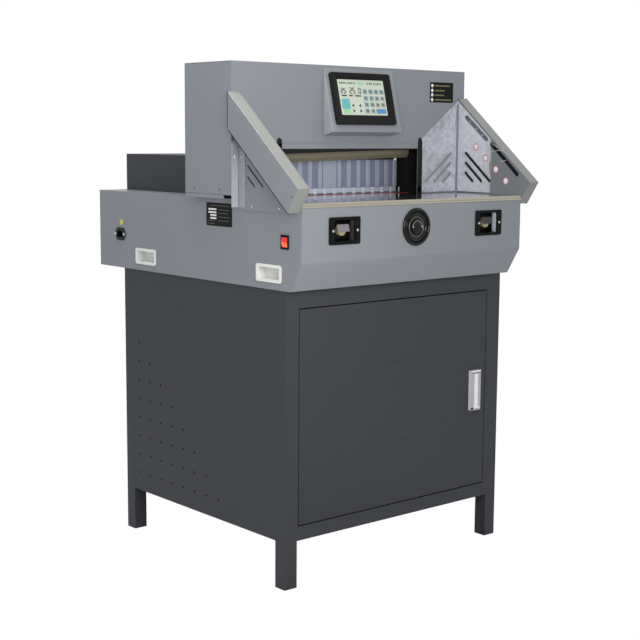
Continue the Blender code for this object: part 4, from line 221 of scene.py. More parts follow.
def number(name, description, default, unit="NONE"):
    """A number that a user may change, and that may be negative."""
    return FloatProperty(name=name, description=description, default=default, unit=unit)


def pair(name, description, default):
    """Two lengths or places that a user may change."""
    return FloatVectorProperty(name=name, description=description, default=default, size=2, unit="LENGTH")


def spot(name, description, default):
    """A place in space that a user may change."""
    return FloatVectorProperty(name=name, description=description, default=default, size=3,
                               subtype="TRANSLATION", unit="LENGTH")


def colour(name, description, default):
    """A colour that a user may change."""
    return FloatVectorProperty(name=name, description=description, default=default, min=0, max=1, size=3,
                               subtype="COLOR")


class CutterSizes(bpy.types.PropertyGroup):
    """Sizes of the small parts and of the rounded edges."""

    fold_round: length("Fold rounding", "Width of the rounded edge along a folded sheet", 0.0020)
    plate_round: length("Plate rounding", "Width of the rounded edge along a thin plate", 0.0004)
    tube_round: length("Tube rounding", "Width of the rounded edge along a square tube", 0.0022)
    long_edge: length("Long edge", "Edges shorter than this stay sharp", 0.012)
    bezel_rim: length("Bezel rim", "Width of the display bezel's flat rim", 0.0115)
    bezel_slope: length("Bezel slope", "Width of the slope from the rim down to the screen", 0.0088)
    bezel_depth: length("Bezel depth", "Depth of the bezel from its rim to its back", 0.006)
    bezel_corner: length("Bezel corner", "Radius at the bezel's outer corners", 0.003)
    bezel_ease: length("Bezel easing", "Width of the bezel's eased edges", 0.0008)
    screen_drop: length("Screen drop", "How far the slope goes down from the bezel's rim", 0.0037)
    mark_gap: length("Mark gap", "Air between a surface and what is drawn on it", 0.0001)
    key_rise: length("Key rise", "How far a drawn key stands above the screen", 0.0002)
    wheel_shaft: length("Wheel shaft", "Radius of the handwheel's shaft", 0.006)
    wheel_boss: length("Wheel boss", "Radius of the boss behind the handwheel", 0.020)
    dish_wall: length("Dish wall", "Wall of the handwheel's surround", 0.003)
    dish_gap: length("Dish gap", "Room between the handwheel and its surround", 0.002)
    button_height: length("Button height", "Height of a cut button above its stem", 0.011)
    button_stem: length("Button stem", "Radius of a cut button's stem", 0.005)
    station_screw: length("Station screw", "Diameter of the screws in a cut station", 0.0062)
    screw_head: length("Screw head", "Diameter of a casing screw's head", 0.0075)
    small_screw: length("Small screw", "Diameter of a guard screw's head", 0.0055)
    screw_rise: length("Screw rise", "Height of a casing screw's head", 0.0016)
    head_screw_depths: pair("Head screw depths", "Places of the head's screws, back from its front",
                            (0.0437, 0.1457))
    head_screw_rise: length("Head screw rise", "Height of the head's screws above its foot", 0.013)
    guard_screw_depths: pair("Guard screw depths", "Places of the guard's screws, forward of its rear edge",
                             (0.0512, 0.1517))
    guard_screw_rise: length("Guard screw rise", "Height of the guard's screws above its foot", 0.010)
    arm_screw_place: pair("Arm screw place", "Place of the arm's screw behind its tip and above its foot",
                          (0.0226, 0.0376))
    disc_size: length("Disc size", "Diameter of the ringed discs on the right guard", 0.0195)
    disc_row_start: pair("Disc row start", "Depth and height of the row's first disc", (-0.2521, 1.026))
    disc_row_step: pair("Disc row step", "Way from one disc to the next", (-0.03507, -0.02863))
    guard_sheet: length("Guard sheet", "Thickness of the guard plates", 0.0015)
    yellow_disc_size: length("Yellow disc size", "Diameter of the yellow disc by the mains inlet", 0.0155)
    yellow_disc_place: pair("Yellow disc place", "Place along the left side, and below its top",
                            (-0.3326, 0.082))
    plate_thickness: length("Plate thickness", "Thickness of the bare black plates", 0.0008)
    rating_plate_place: pair("Rating plate place",
                             "Place in from the side panel's rear edge and below its top", (0.491, 0.012))
    rating_plate_width: length("Rating plate width", "Width of the bare plate on the left side", 0.102)
    rating_plate_height: length("Rating plate height", "Height of the bare plate on the left side", 0.0555)
    head_plate_place: pair("Head plate place", "Place in from the head's left edge and below its top",
                           (0.6454, 0.030))
    head_plate_width: length("Head plate width", "Width of the bare plate on the head's front", 0.086)
    head_plate_height: length("Head plate height", "Height of the bare plate on the head's front", 0.052)
    head_dot_size: length("Head dot size", "Diameter of the plain dots on the head's plate", 0.0085)
    # The dark edging along the arms is a painted shadow of the gap between each arm and its guard
    shadow_width: length("Seam width", "Width of the dark edging along the guard arms", 0.0060)
    shadow_rise: length("Seam rise", "Thickness of the dark edging along the guard arms", 0.0015)
    arm_rear: length("Arm rear", "Least way from an arm's foot back to its rear edge", 0.15)
    # The dark crease in the outer angles is painted shade along their fold
    crease_width: length("Crease width", "Width of the dark crease in the outer angles", 0.0018)
    angle_screw_rise: length("Angle screw rise", "Height of the outer angles' screws above their foot", 0.117)
    trim_line: length("Trim line", "Height of the thin line along the table's trim", 0.0012)
    hood_gap: length("Hood gap", "Way from a cut button's face to the smoked hood before it", 0.0035)
    hood_width: length("Hood width", "Width of the smoked hoods before the cut buttons", 0.036)
    hood_height: length("Hood height", "Height of the smoked hoods before the cut buttons", 0.017)
    # The arc over the hub and its wire are a painted reflection on the wheel's face
    hub_arc: number("Hub arc", "Radius of the arc over the hub, by the wheel's", 0.42)
    hub_wire: length("Hub wire", "Radius of that arc's wire", 0.0006)
    pull_width: length("Pull width", "Width of the door's pull", 0.036)
    pull_depth: length("Pull depth", "How far the door's pull stands out", 0.0095)
    pull_height: length("Pull height", "Height of the door's pull", 0.1055)
    # The strip on a station's wall is painted light: a reflection in the right station, shade in the left
    glare_depth: length("Glare depth", "Depth of the pale strip inside each cut station's right wall", 0.017)
    angle_screw: length("Angle screw", "Diameter of the outer angles' larger screw", 0.0085)
    # The shades over the louvres are painted shade: black over the open slots, grey over the pressed ones
    louvre_width: length("Louvre width", "Width of the shades over the right guard's louvres", 0.0078)
    # The strip in the inner corner is painted shade
    corner_strip: length("Corner strip", "Width of the strip in the right guard's inner corner", 0.0060)
    window_width: length("Window width", "Width of the slate glass behind the upper window", 0.0150)
    window_dot: length("Window dot", "Diameter of the pale dots behind the upper window", 0.0042)
    film_strand: length("Film strand", "Width of the torn strands of film", 0.0010)
    slot_width: length("Slot width", "Width of the round-topped slot at the opening's left end", 0.016)
    slot_span: pair("Slot span", "Lower and upper ends of that slot", (1.0215, 1.0475))
    slot_place: number("Slot place", "X of the middle of that slot", -0.2446, "LENGTH")
    stick_rise: length("Stick rise", "How far the cutting stick stands above the table", 0.0003)
    lip_mark: length("Lip mark", "Width of the bright marks on the fence's lip", 0.0032)
    # The dark lines at the lip's foot are a painted shadow of the gap between the lip and the table
    lip_shade: length("Lip shade", "Height of the dark lines at the foot of the fence's lip", 0.0026)
    glide_area: number("Glide area", "Least area of a groove's floor in the fence", 0.0004, "AREA")
    glide_depth: length("Glide depth", "How far the floor of the fence's grooves lies behind its ribs",
                        0.0098)
    # The glides fill the grooves and carry painted light where the grooves' shade would fall
    glide_width: length("Glide width", "Width of the pale glides in the fence's grooves", 0.0122)
    wear_plate: pair("Wear plate", "X of the left and right edges of the fence's wear plate",
                     (-0.0403, 0.0034))
    # The bright marks on the blade are painted highlights, small white plates that ride on it
    glint: length("Glint", "Length of the small bright scrapers on the blade", 0.0085)
    end_slot: pair("End slot", "X of the left and right edges of the slot at the opening's right end",
                   (0.2179, 0.2337))
    end_slot_top: number("End slot top", "Height of that slot's top", 1.0455, "LENGTH")
    skirt_rear: number("Skirt rear", "Y of the rear end of the head's lower strip", 0.0017, "LENGTH")
    skirt_front: number("Skirt front", "Y of the front end of the head's lower strip", -0.1505, "LENGTH")
    dull_screw: length("Dull screw", "Diameter of the head's dull screws", 0.0048)
    left_leg_width: length("Left leg width", "Width of the left corner guard's front leg", 0.019)
    # The louvre liners are a dark sheet of painted shade behind the louvres
    shade_sheet_depths: pair("Liner depths", "Front and rear edges of the louvre liners", (-0.300, -0.200))
    shade_sheet_heights: pair("Liner heights", "Lower and upper edges of the louvre liners", (0.918, 1.016))


class CutterColours(bpy.types.PropertyGroup):
    """Colours of the finishes, as linear values."""

    grey: colour("Grey paint", "Powder coat on the body and the head", (0.205, 0.222, 0.250))
    anthracite: colour("Anthracite paint", "Powder coat on the stand and the rear guard",
                       (0.040, 0.043, 0.0515))
    motor: colour("Motor paint", "Enamel on the motors", (0.10, 0.12, 0.14))
    zinc: colour("Zinc", "Galvanised sheet", (0.34, 0.35, 0.37))
    film: colour("Protective film", "Galvanised sheet under its pale film", (0.43, 0.445, 0.495))
    steel: colour("Steel", "Ground steel", (0.55, 0.56, 0.58))
    oiled: colour("Oiled steel", "The blade under its film of oil", (0.19, 0.172, 0.120))
    iron: colour("Iron", "Painted castings", (0.014, 0.014, 0.015))
    aluminium: colour("Aluminium", "Anodised extrusions", (0.60, 0.645, 0.74))
    trim: colour("Trim", "Champagne anodised strip", (0.60, 0.555, 0.45))
    bronze: colour("Bronze", "Bronze bushes and nuts", (0.62, 0.45, 0.25))
    black: colour("Black plastic", "Moulded black plastic", (0.0055, 0.0055, 0.006))
    ivory: colour("Ivory plastic", "Moulded carry handles", (0.74, 0.745, 0.73))
    red: colour("Red plastic", "Cutting stick and rocker", (0.72, 0.045, 0.022))
    button: colour("Button", "Yellow-green cut buttons", (0.30, 0.285, 0.15))
    screen: colour("Screen", "Lit background of the screen", (0.40, 0.455, 0.385))


class CutterStudio(bpy.types.PropertyGroup):
    """Camera, lights and floor."""

    lens: number("Lens", "Focal length on a 36 mm sensor, in millimetres", 74.743)
    place: spot("Camera place", "Where the camera stands", (-2.2407, -2.6686, 1.0575))
    yaw: number("Yaw", "Camera's turn from +Y towards +X", 0.7076, "ROTATION")
    pitch: number("Pitch", "Camera's tilt below the horizon", 0.1392, "ROTATION")
    roll: number("Roll", "Camera's lean about its line of sight", 0.0068, "ROTATION")
    floor_radius: length("Floor radius", "Radius of the pale floor", 60.0)
    floor_colour: colour("Floor", "Colour of the pale floor", (0.80, 0.80, 0.80))
    ambient: number("Ambient", "Strength of the light from all round", 0.77)
    ambient_colour: colour("Ambient colour", "Colour of the light from all round", (0.965, 0.985, 1.0))
    front_lamp_power: number("Front lamp power", "Strength of the front lamp, in watts", 7.5)
    front_lamp_place: spot("Front lamp place", "Where the front lamp hangs", (-0.70, -1.19, 1.04))
    top_lamp_power: number("Top lamp power", "Strength of the lamp overhead, in watts", 10.5)
    top_lamp_place: spot("Top lamp place", "Where the lamp overhead hangs", (-0.43, -0.19, 1.95))
    lamp_colour: colour("Lamp colour", "Colour of the lamps", (1.0, 0.96, 0.88))
    lamp_size: length("Lamp size", "Diameter of the lamps", 0.60)
    lamp_aim: spot("Lamp aim", "The place that the lamps look at", (-0.25, -0.30, 0.95))


def sizes():
    return bpy.context.scene.cutter_sizes


def colours():
    return bpy.context.scene.cutter_colours


def studio():
    return bpy.context.scene.cutter_studio


# Node groups, each built once

def group_tree(name, inputs, outputs):
    """A new shader node group with its named sockets, and its two end nodes."""
    tree = bpy.data.node_groups.new(name, "ShaderNodeTree")
    for label, kind in inputs:
        tree.interface.new_socket(name=label, in_out="INPUT", socket_type=kind)
    for label, kind in outputs:
        tree.interface.new_socket(name=label, in_out="OUTPUT", socket_type=kind)
    start = tree.nodes.new("NodeGroupInput")
    end = tree.nodes.new("NodeGroupOutput")
    return tree, start, end


def add_node(tree, kind, **settings):
    """A node whose settings are its own properties or, where it has none of that name, its inputs."""
    made = tree.nodes.new(kind)
    for key, value in settings.items():
        label = key.replace("_", " ").title()
        if hasattr(made, key):
            setattr(made, key, value)
        else:
            made.inputs[label].default_value = value
    return made


def scaled_noise(tree, vector, scale_socket, detail, roughness=0.55):
    """A noise texture whose scale follows a socket."""
    noise = add_node(tree, "ShaderNodeTexNoise", detail=detail, roughness=roughness)
    tree.links.new(vector, noise.inputs["Vector"])
    tree.links.new(scale_socket, noise.inputs["Scale"])
    return noise.outputs["Fac"]


def math_node(tree, operation, first, second):
    """A math node between two sockets or numbers."""
    made = tree.nodes.new("ShaderNodeMath")
    made.operation = operation
    for slot_number, value in enumerate((first, second)):
        if isinstance(value, (int, float)):
            made.inputs[slot_number].default_value = value
        else:
            tree.links.new(value, made.inputs[slot_number])
    return made.outputs[0]


def spread(tree, value, amount):
    """A factor of one plus or minus an amount, from a value between nothing and one."""
    centred = math_node(tree, "SUBTRACT", value, 0.5)
    swing = math_node(tree, "MULTIPLY", centred, amount)
    return math_node(tree, "ADD", swing, 1.0)


def shaded(tree, base, factor):
    """A colour multiplied by a grey factor."""
    made = tree.nodes.new("ShaderNodeVectorMath")
    made.operation = "SCALE"
    tree.links.new(base, made.inputs[0])
    tree.links.new(factor, made.inputs["Scale"])
    return made.outputs[0]


SURFACE_OUTPUTS = (("Color", "NodeSocketColor"), ("Roughness", "NodeSocketFloat"),
                   ("Height", "NodeSocketFloat"))


def powder_coat_group():
    """Paint with a fine orange peel, cloudy shade and uneven gloss."""
    tree, start, end = group_tree("powder_coat", (
        ("Vector", "NodeSocketVector"), ("Color", "NodeSocketColor"), ("Roughness", "NodeSocketFloat"),
        ("Peel Scale", "NodeSocketFloat"), ("Cloud Scale", "NodeSocketFloat"), ("Cloud", "NodeSocketFloat"),
        ("Gloss Change", "NodeSocketFloat")), SURFACE_OUTPUTS)
    given, result = start.outputs, end.inputs
    vector = given["Vector"]
    peel = scaled_noise(tree, vector, given["Peel Scale"], 2.0)
    cloud = scaled_noise(tree, vector, given["Cloud Scale"], 4.0)
    smear = scaled_noise(tree, vector, math_node(tree, "MULTIPLY", given["Cloud Scale"], 5.0), 3.0)
    tree.links.new(shaded(tree, given["Color"], spread(tree, cloud, given["Cloud"])), result["Color"])
    gloss = spread(tree, smear, given["Gloss Change"])
    tree.links.new(math_node(tree, "MULTIPLY", given["Roughness"], gloss), result["Roughness"])
    tree.links.new(peel, result["Height"])
    return tree


def ground_metal_group():
    """Metal with fine parallel grinding lines, which a stretched vector lays in one direction."""
    tree, start, end = group_tree("ground_metal", (
        ("Vector", "NodeSocketVector"), ("Color", "NodeSocketColor"), ("Roughness", "NodeSocketFloat"),
        ("Line Scale", "NodeSocketFloat"), ("Streak", "NodeSocketFloat"), ("Stain", "NodeSocketFloat")),
        SURFACE_OUTPUTS)
    given, result = start.outputs, end.inputs
    vector = given["Vector"]
    lines = scaled_noise(tree, vector, given["Line Scale"], 6.0, 0.7)
    stain = scaled_noise(tree, vector, math_node(tree, "MULTIPLY", given["Line Scale"], 0.04), 3.0)
    factor = math_node(tree, "MULTIPLY", spread(tree, lines, given["Streak"]),
                       spread(tree, stain, given["Stain"]))
    tree.links.new(shaded(tree, given["Color"], factor), result["Color"])
    rough = math_node(tree, "MULTIPLY", given["Roughness"],
                      spread(tree, lines, math_node(tree, "MULTIPLY", given["Streak"], 1.5)))
    tree.links.new(rough, result["Roughness"])
    tree.links.new(lines, result["Height"])
    return tree


def zinc_sheet_group():
    """Galvanised sheet with soft spangles, partly under a wrinkled protective film."""
    tree, start, end = group_tree("zinc_sheet", (
        ("Vector", "NodeSocketVector"), ("Bare Color", "NodeSocketColor"), ("Film Color", "NodeSocketColor"),
        ("Film", "NodeSocketFloat"), ("Roughness", "NodeSocketFloat"), ("Spangle Scale", "NodeSocketFloat"),
        ("Wrinkle Scale", "NodeSocketFloat"), ("Contrast", "NodeSocketFloat")), SURFACE_OUTPUTS)
    given, result = start.outputs, end.inputs
    vector = given["Vector"]
    cells = tree.nodes.new("ShaderNodeTexVoronoi")
    cells.feature = "F1"
    tree.links.new(vector, cells.inputs["Vector"])
    tree.links.new(given["Spangle Scale"], cells.inputs["Scale"])
    split = tree.nodes.new("ShaderNodeSeparateColor")
    tree.links.new(cells.outputs["Color"], split.inputs["Color"])
    spangle = split.outputs[0]
    soft = scaled_noise(tree, vector, math_node(tree, "MULTIPLY", given["Spangle Scale"], 0.5), 5.0)
    wrinkle = tree.nodes.new("ShaderNodeTexNoise")
    wrinkle.noise_type = "RIDGED_MULTIFRACTAL"
    wrinkle.inputs["Detail"].default_value = 3.0
    tree.links.new(vector, wrinkle.inputs["Vector"])
    tree.links.new(given["Wrinkle Scale"], wrinkle.inputs["Scale"])
    mixed = tree.nodes.new("ShaderNodeMix")
    mixed.data_type = "RGBA"
    tree.links.new(given["Film"], mixed.inputs["Factor"])
    tree.links.new(given["Bare Color"], mixed.inputs["A"])
    tree.links.new(given["Film Color"], mixed.inputs["B"])
    blend = math_node(tree, "ADD", math_node(tree, "MULTIPLY", spangle, 0.45),
                      math_node(tree, "MULTIPLY", soft, 0.55))
    factor = spread(tree, blend, given["Contrast"])
    tree.links.new(shaded(tree, mixed.outputs["Result"], factor), result["Color"])
    rough = math_node(tree, "MULTIPLY", given["Roughness"], spread(tree, blend, 0.6))
    tree.links.new(rough, result["Roughness"])
    tree.links.new(math_node(tree, "MULTIPLY", wrinkle.outputs["Fac"], given["Film"]), result["Height"])
    return tree


def group_named(name):
    """The node group of that name, built at its first use."""
    makers = {"powder_coat": powder_coat_group, "ground_metal": ground_metal_group,
              "zinc_sheet": zinc_sheet_group}
    return bpy.data.node_groups.get(name) or makers[name]()


# Finishes, kept by name as they are built

FINISHES = {}


def new_finish(name, group, stretch=(1, 1, 1), bump=0.2, bump_distance=0.0004, **plain):
    """A Principled material fed by a group on Object coordinates, with plain values on its own sockets."""
    material = bpy.data.materials.new(name)
    material.use_nodes = True
    tree = material.node_tree
    shader = tree.nodes["Principled BSDF"]
    place = tree.nodes.new("ShaderNodeTexCoord")
    mapping = tree.nodes.new("ShaderNodeMapping")
    mapping.inputs["Scale"].default_value = stretch
    tree.links.new(place.outputs["Object"], mapping.inputs["Vector"])
    surface = tree.nodes.new("ShaderNodeGroup")
    surface.node_tree = group_named(group)
    tree.links.new(mapping.outputs["Vector"], surface.inputs["Vector"])
    relief = tree.nodes.new("ShaderNodeBump")
    relief.inputs["Strength"].default_value = bump
    relief.inputs["Distance"].default_value = bump_distance
    tree.links.new(surface.outputs["Color"], shader.inputs["Base Color"])
    tree.links.new(surface.outputs["Roughness"], shader.inputs["Roughness"])
    tree.links.new(surface.outputs["Height"], relief.inputs["Height"])
    tree.links.new(relief.outputs["Normal"], shader.inputs["Normal"])
    for label, value in plain.items():
        shader.inputs[label.replace("_", " ")].default_value = value
    FINISHES[name] = material
    return material, surface


def set_inputs(surface, **values):
    """Plain values on a group's sockets."""
    for label, value in values.items():
        socket = surface.inputs[label.replace("_", " ")]
        socket.default_value = (*value, 1) if hasattr(value, "__len__") else value


def paint(name, tone, roughness=0.42, peel=900, cloud=0.05, bump=0.12, **plain):
    material, surface = new_finish(name, "powder_coat", bump=bump, **plain)
    set_inputs(surface, Color=tone, Roughness=roughness, Peel_Scale=peel, Cloud_Scale=5, Cloud=cloud,
               Gloss_Change=0.22)
    return material


def metal(name, tone, roughness=0.3, stretch=(1, 1, 1), lines=400, streak=0.18, stain=0.12, bump=0.08,
          metallic=1.0, **plain):
    surface = new_finish(name, "ground_metal", stretch=stretch, bump=bump, Metallic=metallic, **plain)[1]
    set_inputs(surface, Color=tone, Roughness=roughness, Line_Scale=lines, Streak=streak, Stain=stain)


def zinc(name, bare, film, contrast, film_share=1.0, roughness=0.34, **plain):
    material, surface = new_finish(name, "zinc_sheet", bump=0.35, bump_distance=0.0008, **plain)
    set_inputs(surface, Bare_Color=bare, Film_Color=film, Film=film_share, Roughness=roughness,
               Spangle_Scale=110, Wrinkle_Scale=22, Contrast=contrast)
    return material.node_tree, surface


def film_edge(tree, surface, edge, softness, ripple):
    """Ends the film along a ragged upright line at a distance along Y."""
    place = tree.nodes.new("ShaderNodeTexCoord")
    parts = tree.nodes.new("ShaderNodeSeparateXYZ")
    tree.links.new(place.outputs["Object"], parts.inputs["Vector"])
    noise = tree.nodes.new("ShaderNodeTexNoise")
    noise.inputs["Scale"].default_value = 38
    tree.links.new(place.outputs["Object"], noise.inputs["Vector"])
    ragged = math_node(tree, "ADD", parts.outputs["Y"],
                       math_node(tree, "MULTIPLY", math_node(tree, "SUBTRACT", noise.outputs["Fac"], 0.5),
                                 ripple))
    step = tree.nodes.new("ShaderNodeMapRange")
    step.inputs["From Min"].default_value = edge - softness
    step.inputs["From Max"].default_value = edge + softness
    tree.links.new(ragged, step.inputs["Value"])
    tree.links.new(step.outputs["Result"], surface.inputs["Film"])


def lit(name, tone, glow, roughness=0.25):
    """A glowing screen colour behind a gloss surface, with a faint change over it."""
    material, surface = new_finish(name, "powder_coat", bump=0.0)
    set_inputs(surface, Color=tone, Roughness=roughness, Peel_Scale=400, Cloud_Scale=30, Cloud=0.10,
               Gloss_Change=0.1)
    tree = material.node_tree
    shader = tree.nodes["Principled BSDF"]
    tree.links.new(surface.outputs["Color"], shader.inputs["Emission Color"])
    shader.inputs["Emission Strength"].default_value = glow


def shade(base, *factors):
    """A colour times one factor, or times one for each channel."""
    if len(factors) == 1:
        factors = factors * 3
    return tuple(value * factor for value, factor in zip(base, factors))


def build_finishes():
    """Every finish, by the name that the pieces use."""
    tone = colours()
    paint("grey_paint", tone.grey, 0.36, Coat_Weight=0.12, Coat_Roughness=0.18)
    paint("dark_paint", tone.anthracite, 0.46, peel=700, cloud=0.07, bump=0.2, Specular_IOR_Level=0.22)
    # Painted light: a lighter copy of the grey for the pod's left-facing cheek, standing in for the light on
    # it
    paint("pod_cheek_painted_light", shade(tone.grey, 1.45), 0.36)
    paint("motor_paint", tone.motor, 0.4)
    metal("steel", tone.steel, 0.26, stretch=(0.03, 1, 1))
    metal("oiled_steel", tone.oiled, 0.42, stretch=(0.03, 1, 1), streak=0.25, stain=0.3, metallic=0.3)
    paint("cast", tone.iron, 0.5, peel=350, cloud=0.12, bump=0.35, Specular_IOR_Level=0.2)
    metal("aluminium", tone.aluminium, 0.24, stretch=(1, 1, 0.04), lines=300)
    metal("pale_trim", tone.trim, 0.34, stretch=(0.03, 1, 1), streak=0.1)
    metal("bronze", tone.bronze, 0.3, stretch=(1, 0.05, 1))
    paint("black_plastic", tone.black, 0.22, peel=1200, cloud=0.2, bump=0.05, Specular_IOR_Level=0.22)
    paint("gloss_black", tone.black, 0.12, peel=600, cloud=0.15, bump=0.02, Specular_IOR_Level=0.10)
    paint("white_plastic", tone.ivory, 0.35, peel=1100, cloud=0.03, bump=0.05)
    paint("red_plastic", tone.red, 0.3, peel=1000, cloud=0.06, bump=0.05)
    paint("green_plastic", tone.button, 0.2, cloud=0.06, bump=0.03, Coat_Weight=0.6)
    metal("fence_face", (0.22, 0.245, 0.37), 0.36, stretch=(1, 1, 0.04), lines=300, metallic=0.3)
    # A lighter copy of the fence's metal: painted light on the groove floors and the glides that fill them,
    # and the wear plate's pale tone
    metal("fence_pale_and_painted_light", (0.38, 0.415, 0.53), 0.36, stretch=(1, 1, 0.04), lines=300, metallic=0.3)
    metal("fence_lip", (0.56, 0.60, 0.74), 0.30, stretch=(0.04, 1, 1), lines=300, metallic=0.4)
    metal("dull_screw", (0.15, 0.125, 0.09), 0.5, lines=900, metallic=0.5)
    # Painted shade: a darker copy of the grey for the side guards' inward faces
    paint("guard_inner_painted_shade", shade(tone.grey, 0.58), 0.4)
    # Painted light: a lighter, warmer copy of the grey for the arms' top and front faces
    paint("arm_edge_painted_light", shade(tone.grey, 1.05, 1.0, 0.86), 0.36)
    paint("jamb_grey", (0.09, 0.09, 0.095), 0.4, cloud=0.1)
    paint("olive_line", (0.21, 0.195, 0.145), 0.4, cloud=0.1)
    paint("faint_mark", (0.055, 0.055, 0.052), 0.4, cloud=0.1)
    paint("wheel_black", tone.black, 0.07, peel=600, cloud=0.15, bump=0.02, Specular_IOR_Level=0.28)
    # Painted reflection: the bright arc over the handwheel's hub
    paint("arc_painted_reflection", (0.30, 0.30, 0.31), 0.3, cloud=0.1)
    # Painted light for the cut stations: a reflection on a wall, shade on a wall and the right hood's dark
    # tone, and a reflection on the left hood
    paint("wall_painted_reflection", (0.44, 0.48, 0.58), 0.25, cloud=0.3)
    paint("wall_dim", (0.045, 0.043, 0.047), 0.3, cloud=0.3, Specular_IOR_Level=0.2)
    paint("hood_painted_reflection", (0.17, 0.165, 0.18), 0.3, cloud=0.3)
    # The rocker's glow is painted light, and its brighter orange lower face is a painted highlight
    lit("rocker_red", (0.62, 0.018, 0.012), 0.35)
    lit("rocker_painted_highlight", (0.95, 0.12, 0.035), 0.55)
    metal("handle_grey", (0.44, 0.44, 0.475), 0.3, stretch=(1, 1, 0.03), lines=260, metallic=0.3)
    # A lighter copy of the handle's metal, for the pull's painted highlights and its pale cap and pin
    metal("handle_pale_and_highlight", (0.82, 0.83, 0.88), 0.3, stretch=(1, 1, 0.03), lines=260, metallic=0.2)
    paint("handle_olive", (0.16, 0.15, 0.11), 0.4, cloud=0.1)
    # Painted shade in a slate tone, for the folds of the angles, the guard's inner corner and the lines at
    # the fence lip's foot
    paint("painted_shade_slate", (0.085, 0.095, 0.15), 0.4, cloud=0.1)
    # Painted shade in grey over the pressed louvres in the right guard's front leg
    paint("louvre_painted_shade_grey", (0.24, 0.25, 0.28), 0.5, cloud=0.25)
    paint("lens_slate", (0.055, 0.066, 0.098), 0.15, cloud=0.2, Specular_IOR_Level=0.35)
    paint("lens_dot", (0.30, 0.31, 0.34), 0.3, cloud=0.1)
    metal("table_steel", (0.60, 0.61, 0.64), 0.14, stretch=(0.03, 1, 1), streak=0.14, stain=0.10, bump=0.04)
    # Painted shade: flat black for the dark inside slots, louvres, a finger hole and screw drives, and for
    # the shadows along the arms
    paint("painted_shade_black", (0.012, 0.012, 0.013), 0.6, cloud=0.2, bump=0.1, Specular_IOR_Level=0.2)
    metal("screw", (0.72, 0.73, 0.75), 0.22, lines=900, streak=0.1)
    paint("lens", (0.006, 0.006, 0.008), 0.15, cloud=0.25, bump=0.02, Specular_IOR_Level=0.15)
    # White for printed marks and screws, and for the painted glints on the blade and the hub
    paint("white_mark_and_glint", (0.80, 0.80, 0.78), 0.35, cloud=0.04, bump=0.03)
    paint("bezel_black", (0.006, 0.0055, 0.006), 0.30, cloud=0.2, bump=0.05, Specular_IOR_Level=0.18)
    paint("grey_ring", (0.10, 0.10, 0.105), 0.3, cloud=0.1, bump=0.03)
    paint("plate_black", (0.006, 0.006, 0.0058), 0.3, cloud=0.2, bump=0.02, Specular_IOR_Level=0.12)
    paint("pink_ring", (0.36, 0.145, 0.17), 0.35, cloud=0.08, bump=0.03)
    paint("disc_face", (0.60, 0.565, 0.58), 0.35, cloud=0.25, bump=0.03)
    paint("yellow_mark", (0.62, 0.55, 0.05), 0.35, cloud=0.08, bump=0.03)
    paint("olive_mark", (0.16, 0.15, 0.05), 0.4, cloud=0.08, bump=0.03)
    lit("screen", tone.screen, 0.20)
    lit("screen_mark", (0.035, 0.04, 0.045), 0.05)
    lit("screen_digit", (0.11, 0.095, 0.085), 0.05)
    lit("screen_label", (0.085, 0.12, 0.13), 0.08)
    lit("screen_key", (0.17, 0.235, 0.24), 0.20)
    lit("screen_key_warm", (0.26, 0.26, 0.22), 0.20)
    lit("screen_teal", (0.09, 0.34, 0.34), 0.20)
    lit("screen_blue", (0.055, 0.19, 0.40), 0.20)
    lit("screen_green", (0.23, 0.45, 0.27), 0.20)
    zinc("galvanised", tone.zinc, tone.film, 0.5, Metallic=0.6)
    # Painted light and shade: a lighter film for the outer angles' front legs and a darker one for their side
    # legs
    zinc("angle_film_painted_light", tone.zinc, shade(tone.film, 1.15), 0.2, roughness=0.42, Metallic=0.4)
    zinc("angle_side_painted_shade", tone.zinc, shade(tone.film, 0.80), 0.2, roughness=0.42, Metallic=0.4)
    # The film's own stronger speckle, made 1.06 times lighter as painted light, for the corner guards' front
    # faces
    zinc("guard_front_speckle_and_light", tone.zinc, shade(tone.film, 1.06), 0.75, Metallic=0.55)
    tree, surface = zinc("guard_plate", shade(tone.zinc, 0.62), tone.film, 0.45, Metallic=0.5)
    film_edge(tree, surface, *FILM_EDGE)
    zinc("film_strip", (0.42, 0.42, 0.43), (0.50, 0.50, 0.52), 0.3, roughness=0.3)


# Building pieces

def place_piece(bm, name, body, finish, replaces=(), smooth=SHARP_ANGLE):
    """Turn a bmesh into a finished piece that rides on a body."""
    mesh = bpy.data.meshes.new(name)
    bm.to_mesh(mesh)
    bm.free()
    mesh.shade_smooth()
    mesh.set_sharp_from_angle(angle=smooth)
    mesh.materials.append(FINISHES[finish])
    piece = bpy.data.objects.new(name, mesh)
    bpy.context.scene.collection.objects.link(piece)
    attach(piece, body)
    if replaces:
        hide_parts(*replaces)
    return piece


def even_normals(piece):
    """Keep the flat faces flat beside their rounded edges."""
    step = piece.modifiers.new("even_normals", "WEIGHTED_NORMAL")
    step.keep_sharp = True
    return piece


def bevel(bm, edges, width, segments=2):
    """Round the edges."""
    bmesh.ops.bevel(bm, geom=edges, offset=width, offset_type="OFFSET", affect="EDGES", segments=segments,
                    profile=0.5, clamp_overlap=True, material=-1)


def merged_copy(node):
    """A bmesh of a CAD node with its doubles merged and its flat faces whole."""
    bm = bmesh.new()
    bm.from_mesh(frame["nodes"][node].data)
    bmesh.ops.remove_doubles(bm, verts=bm.verts, dist=MERGE)
    bmesh.ops.dissolve_limit(bm, angle_limit=FLAT_ANGLE, verts=bm.verts, edges=bm.edges,
                             use_dissolve_boundaries=False)
    return bm


def sharp_edges(bm, least):
    """The edges longer than a length at which two faces meet at an angle."""
    return [e for e in bm.edges if len(e.link_faces) == 2 and e.calc_length() > least
            and e.calc_face_angle() > FOLD_ANGLE]


def slimness(edge):
    """About how wide the slimmer of the two faces beside an edge is."""
    return min(face.calc_area() / max(side.calc_length() for side in face.edges) for face in edge.link_faces)


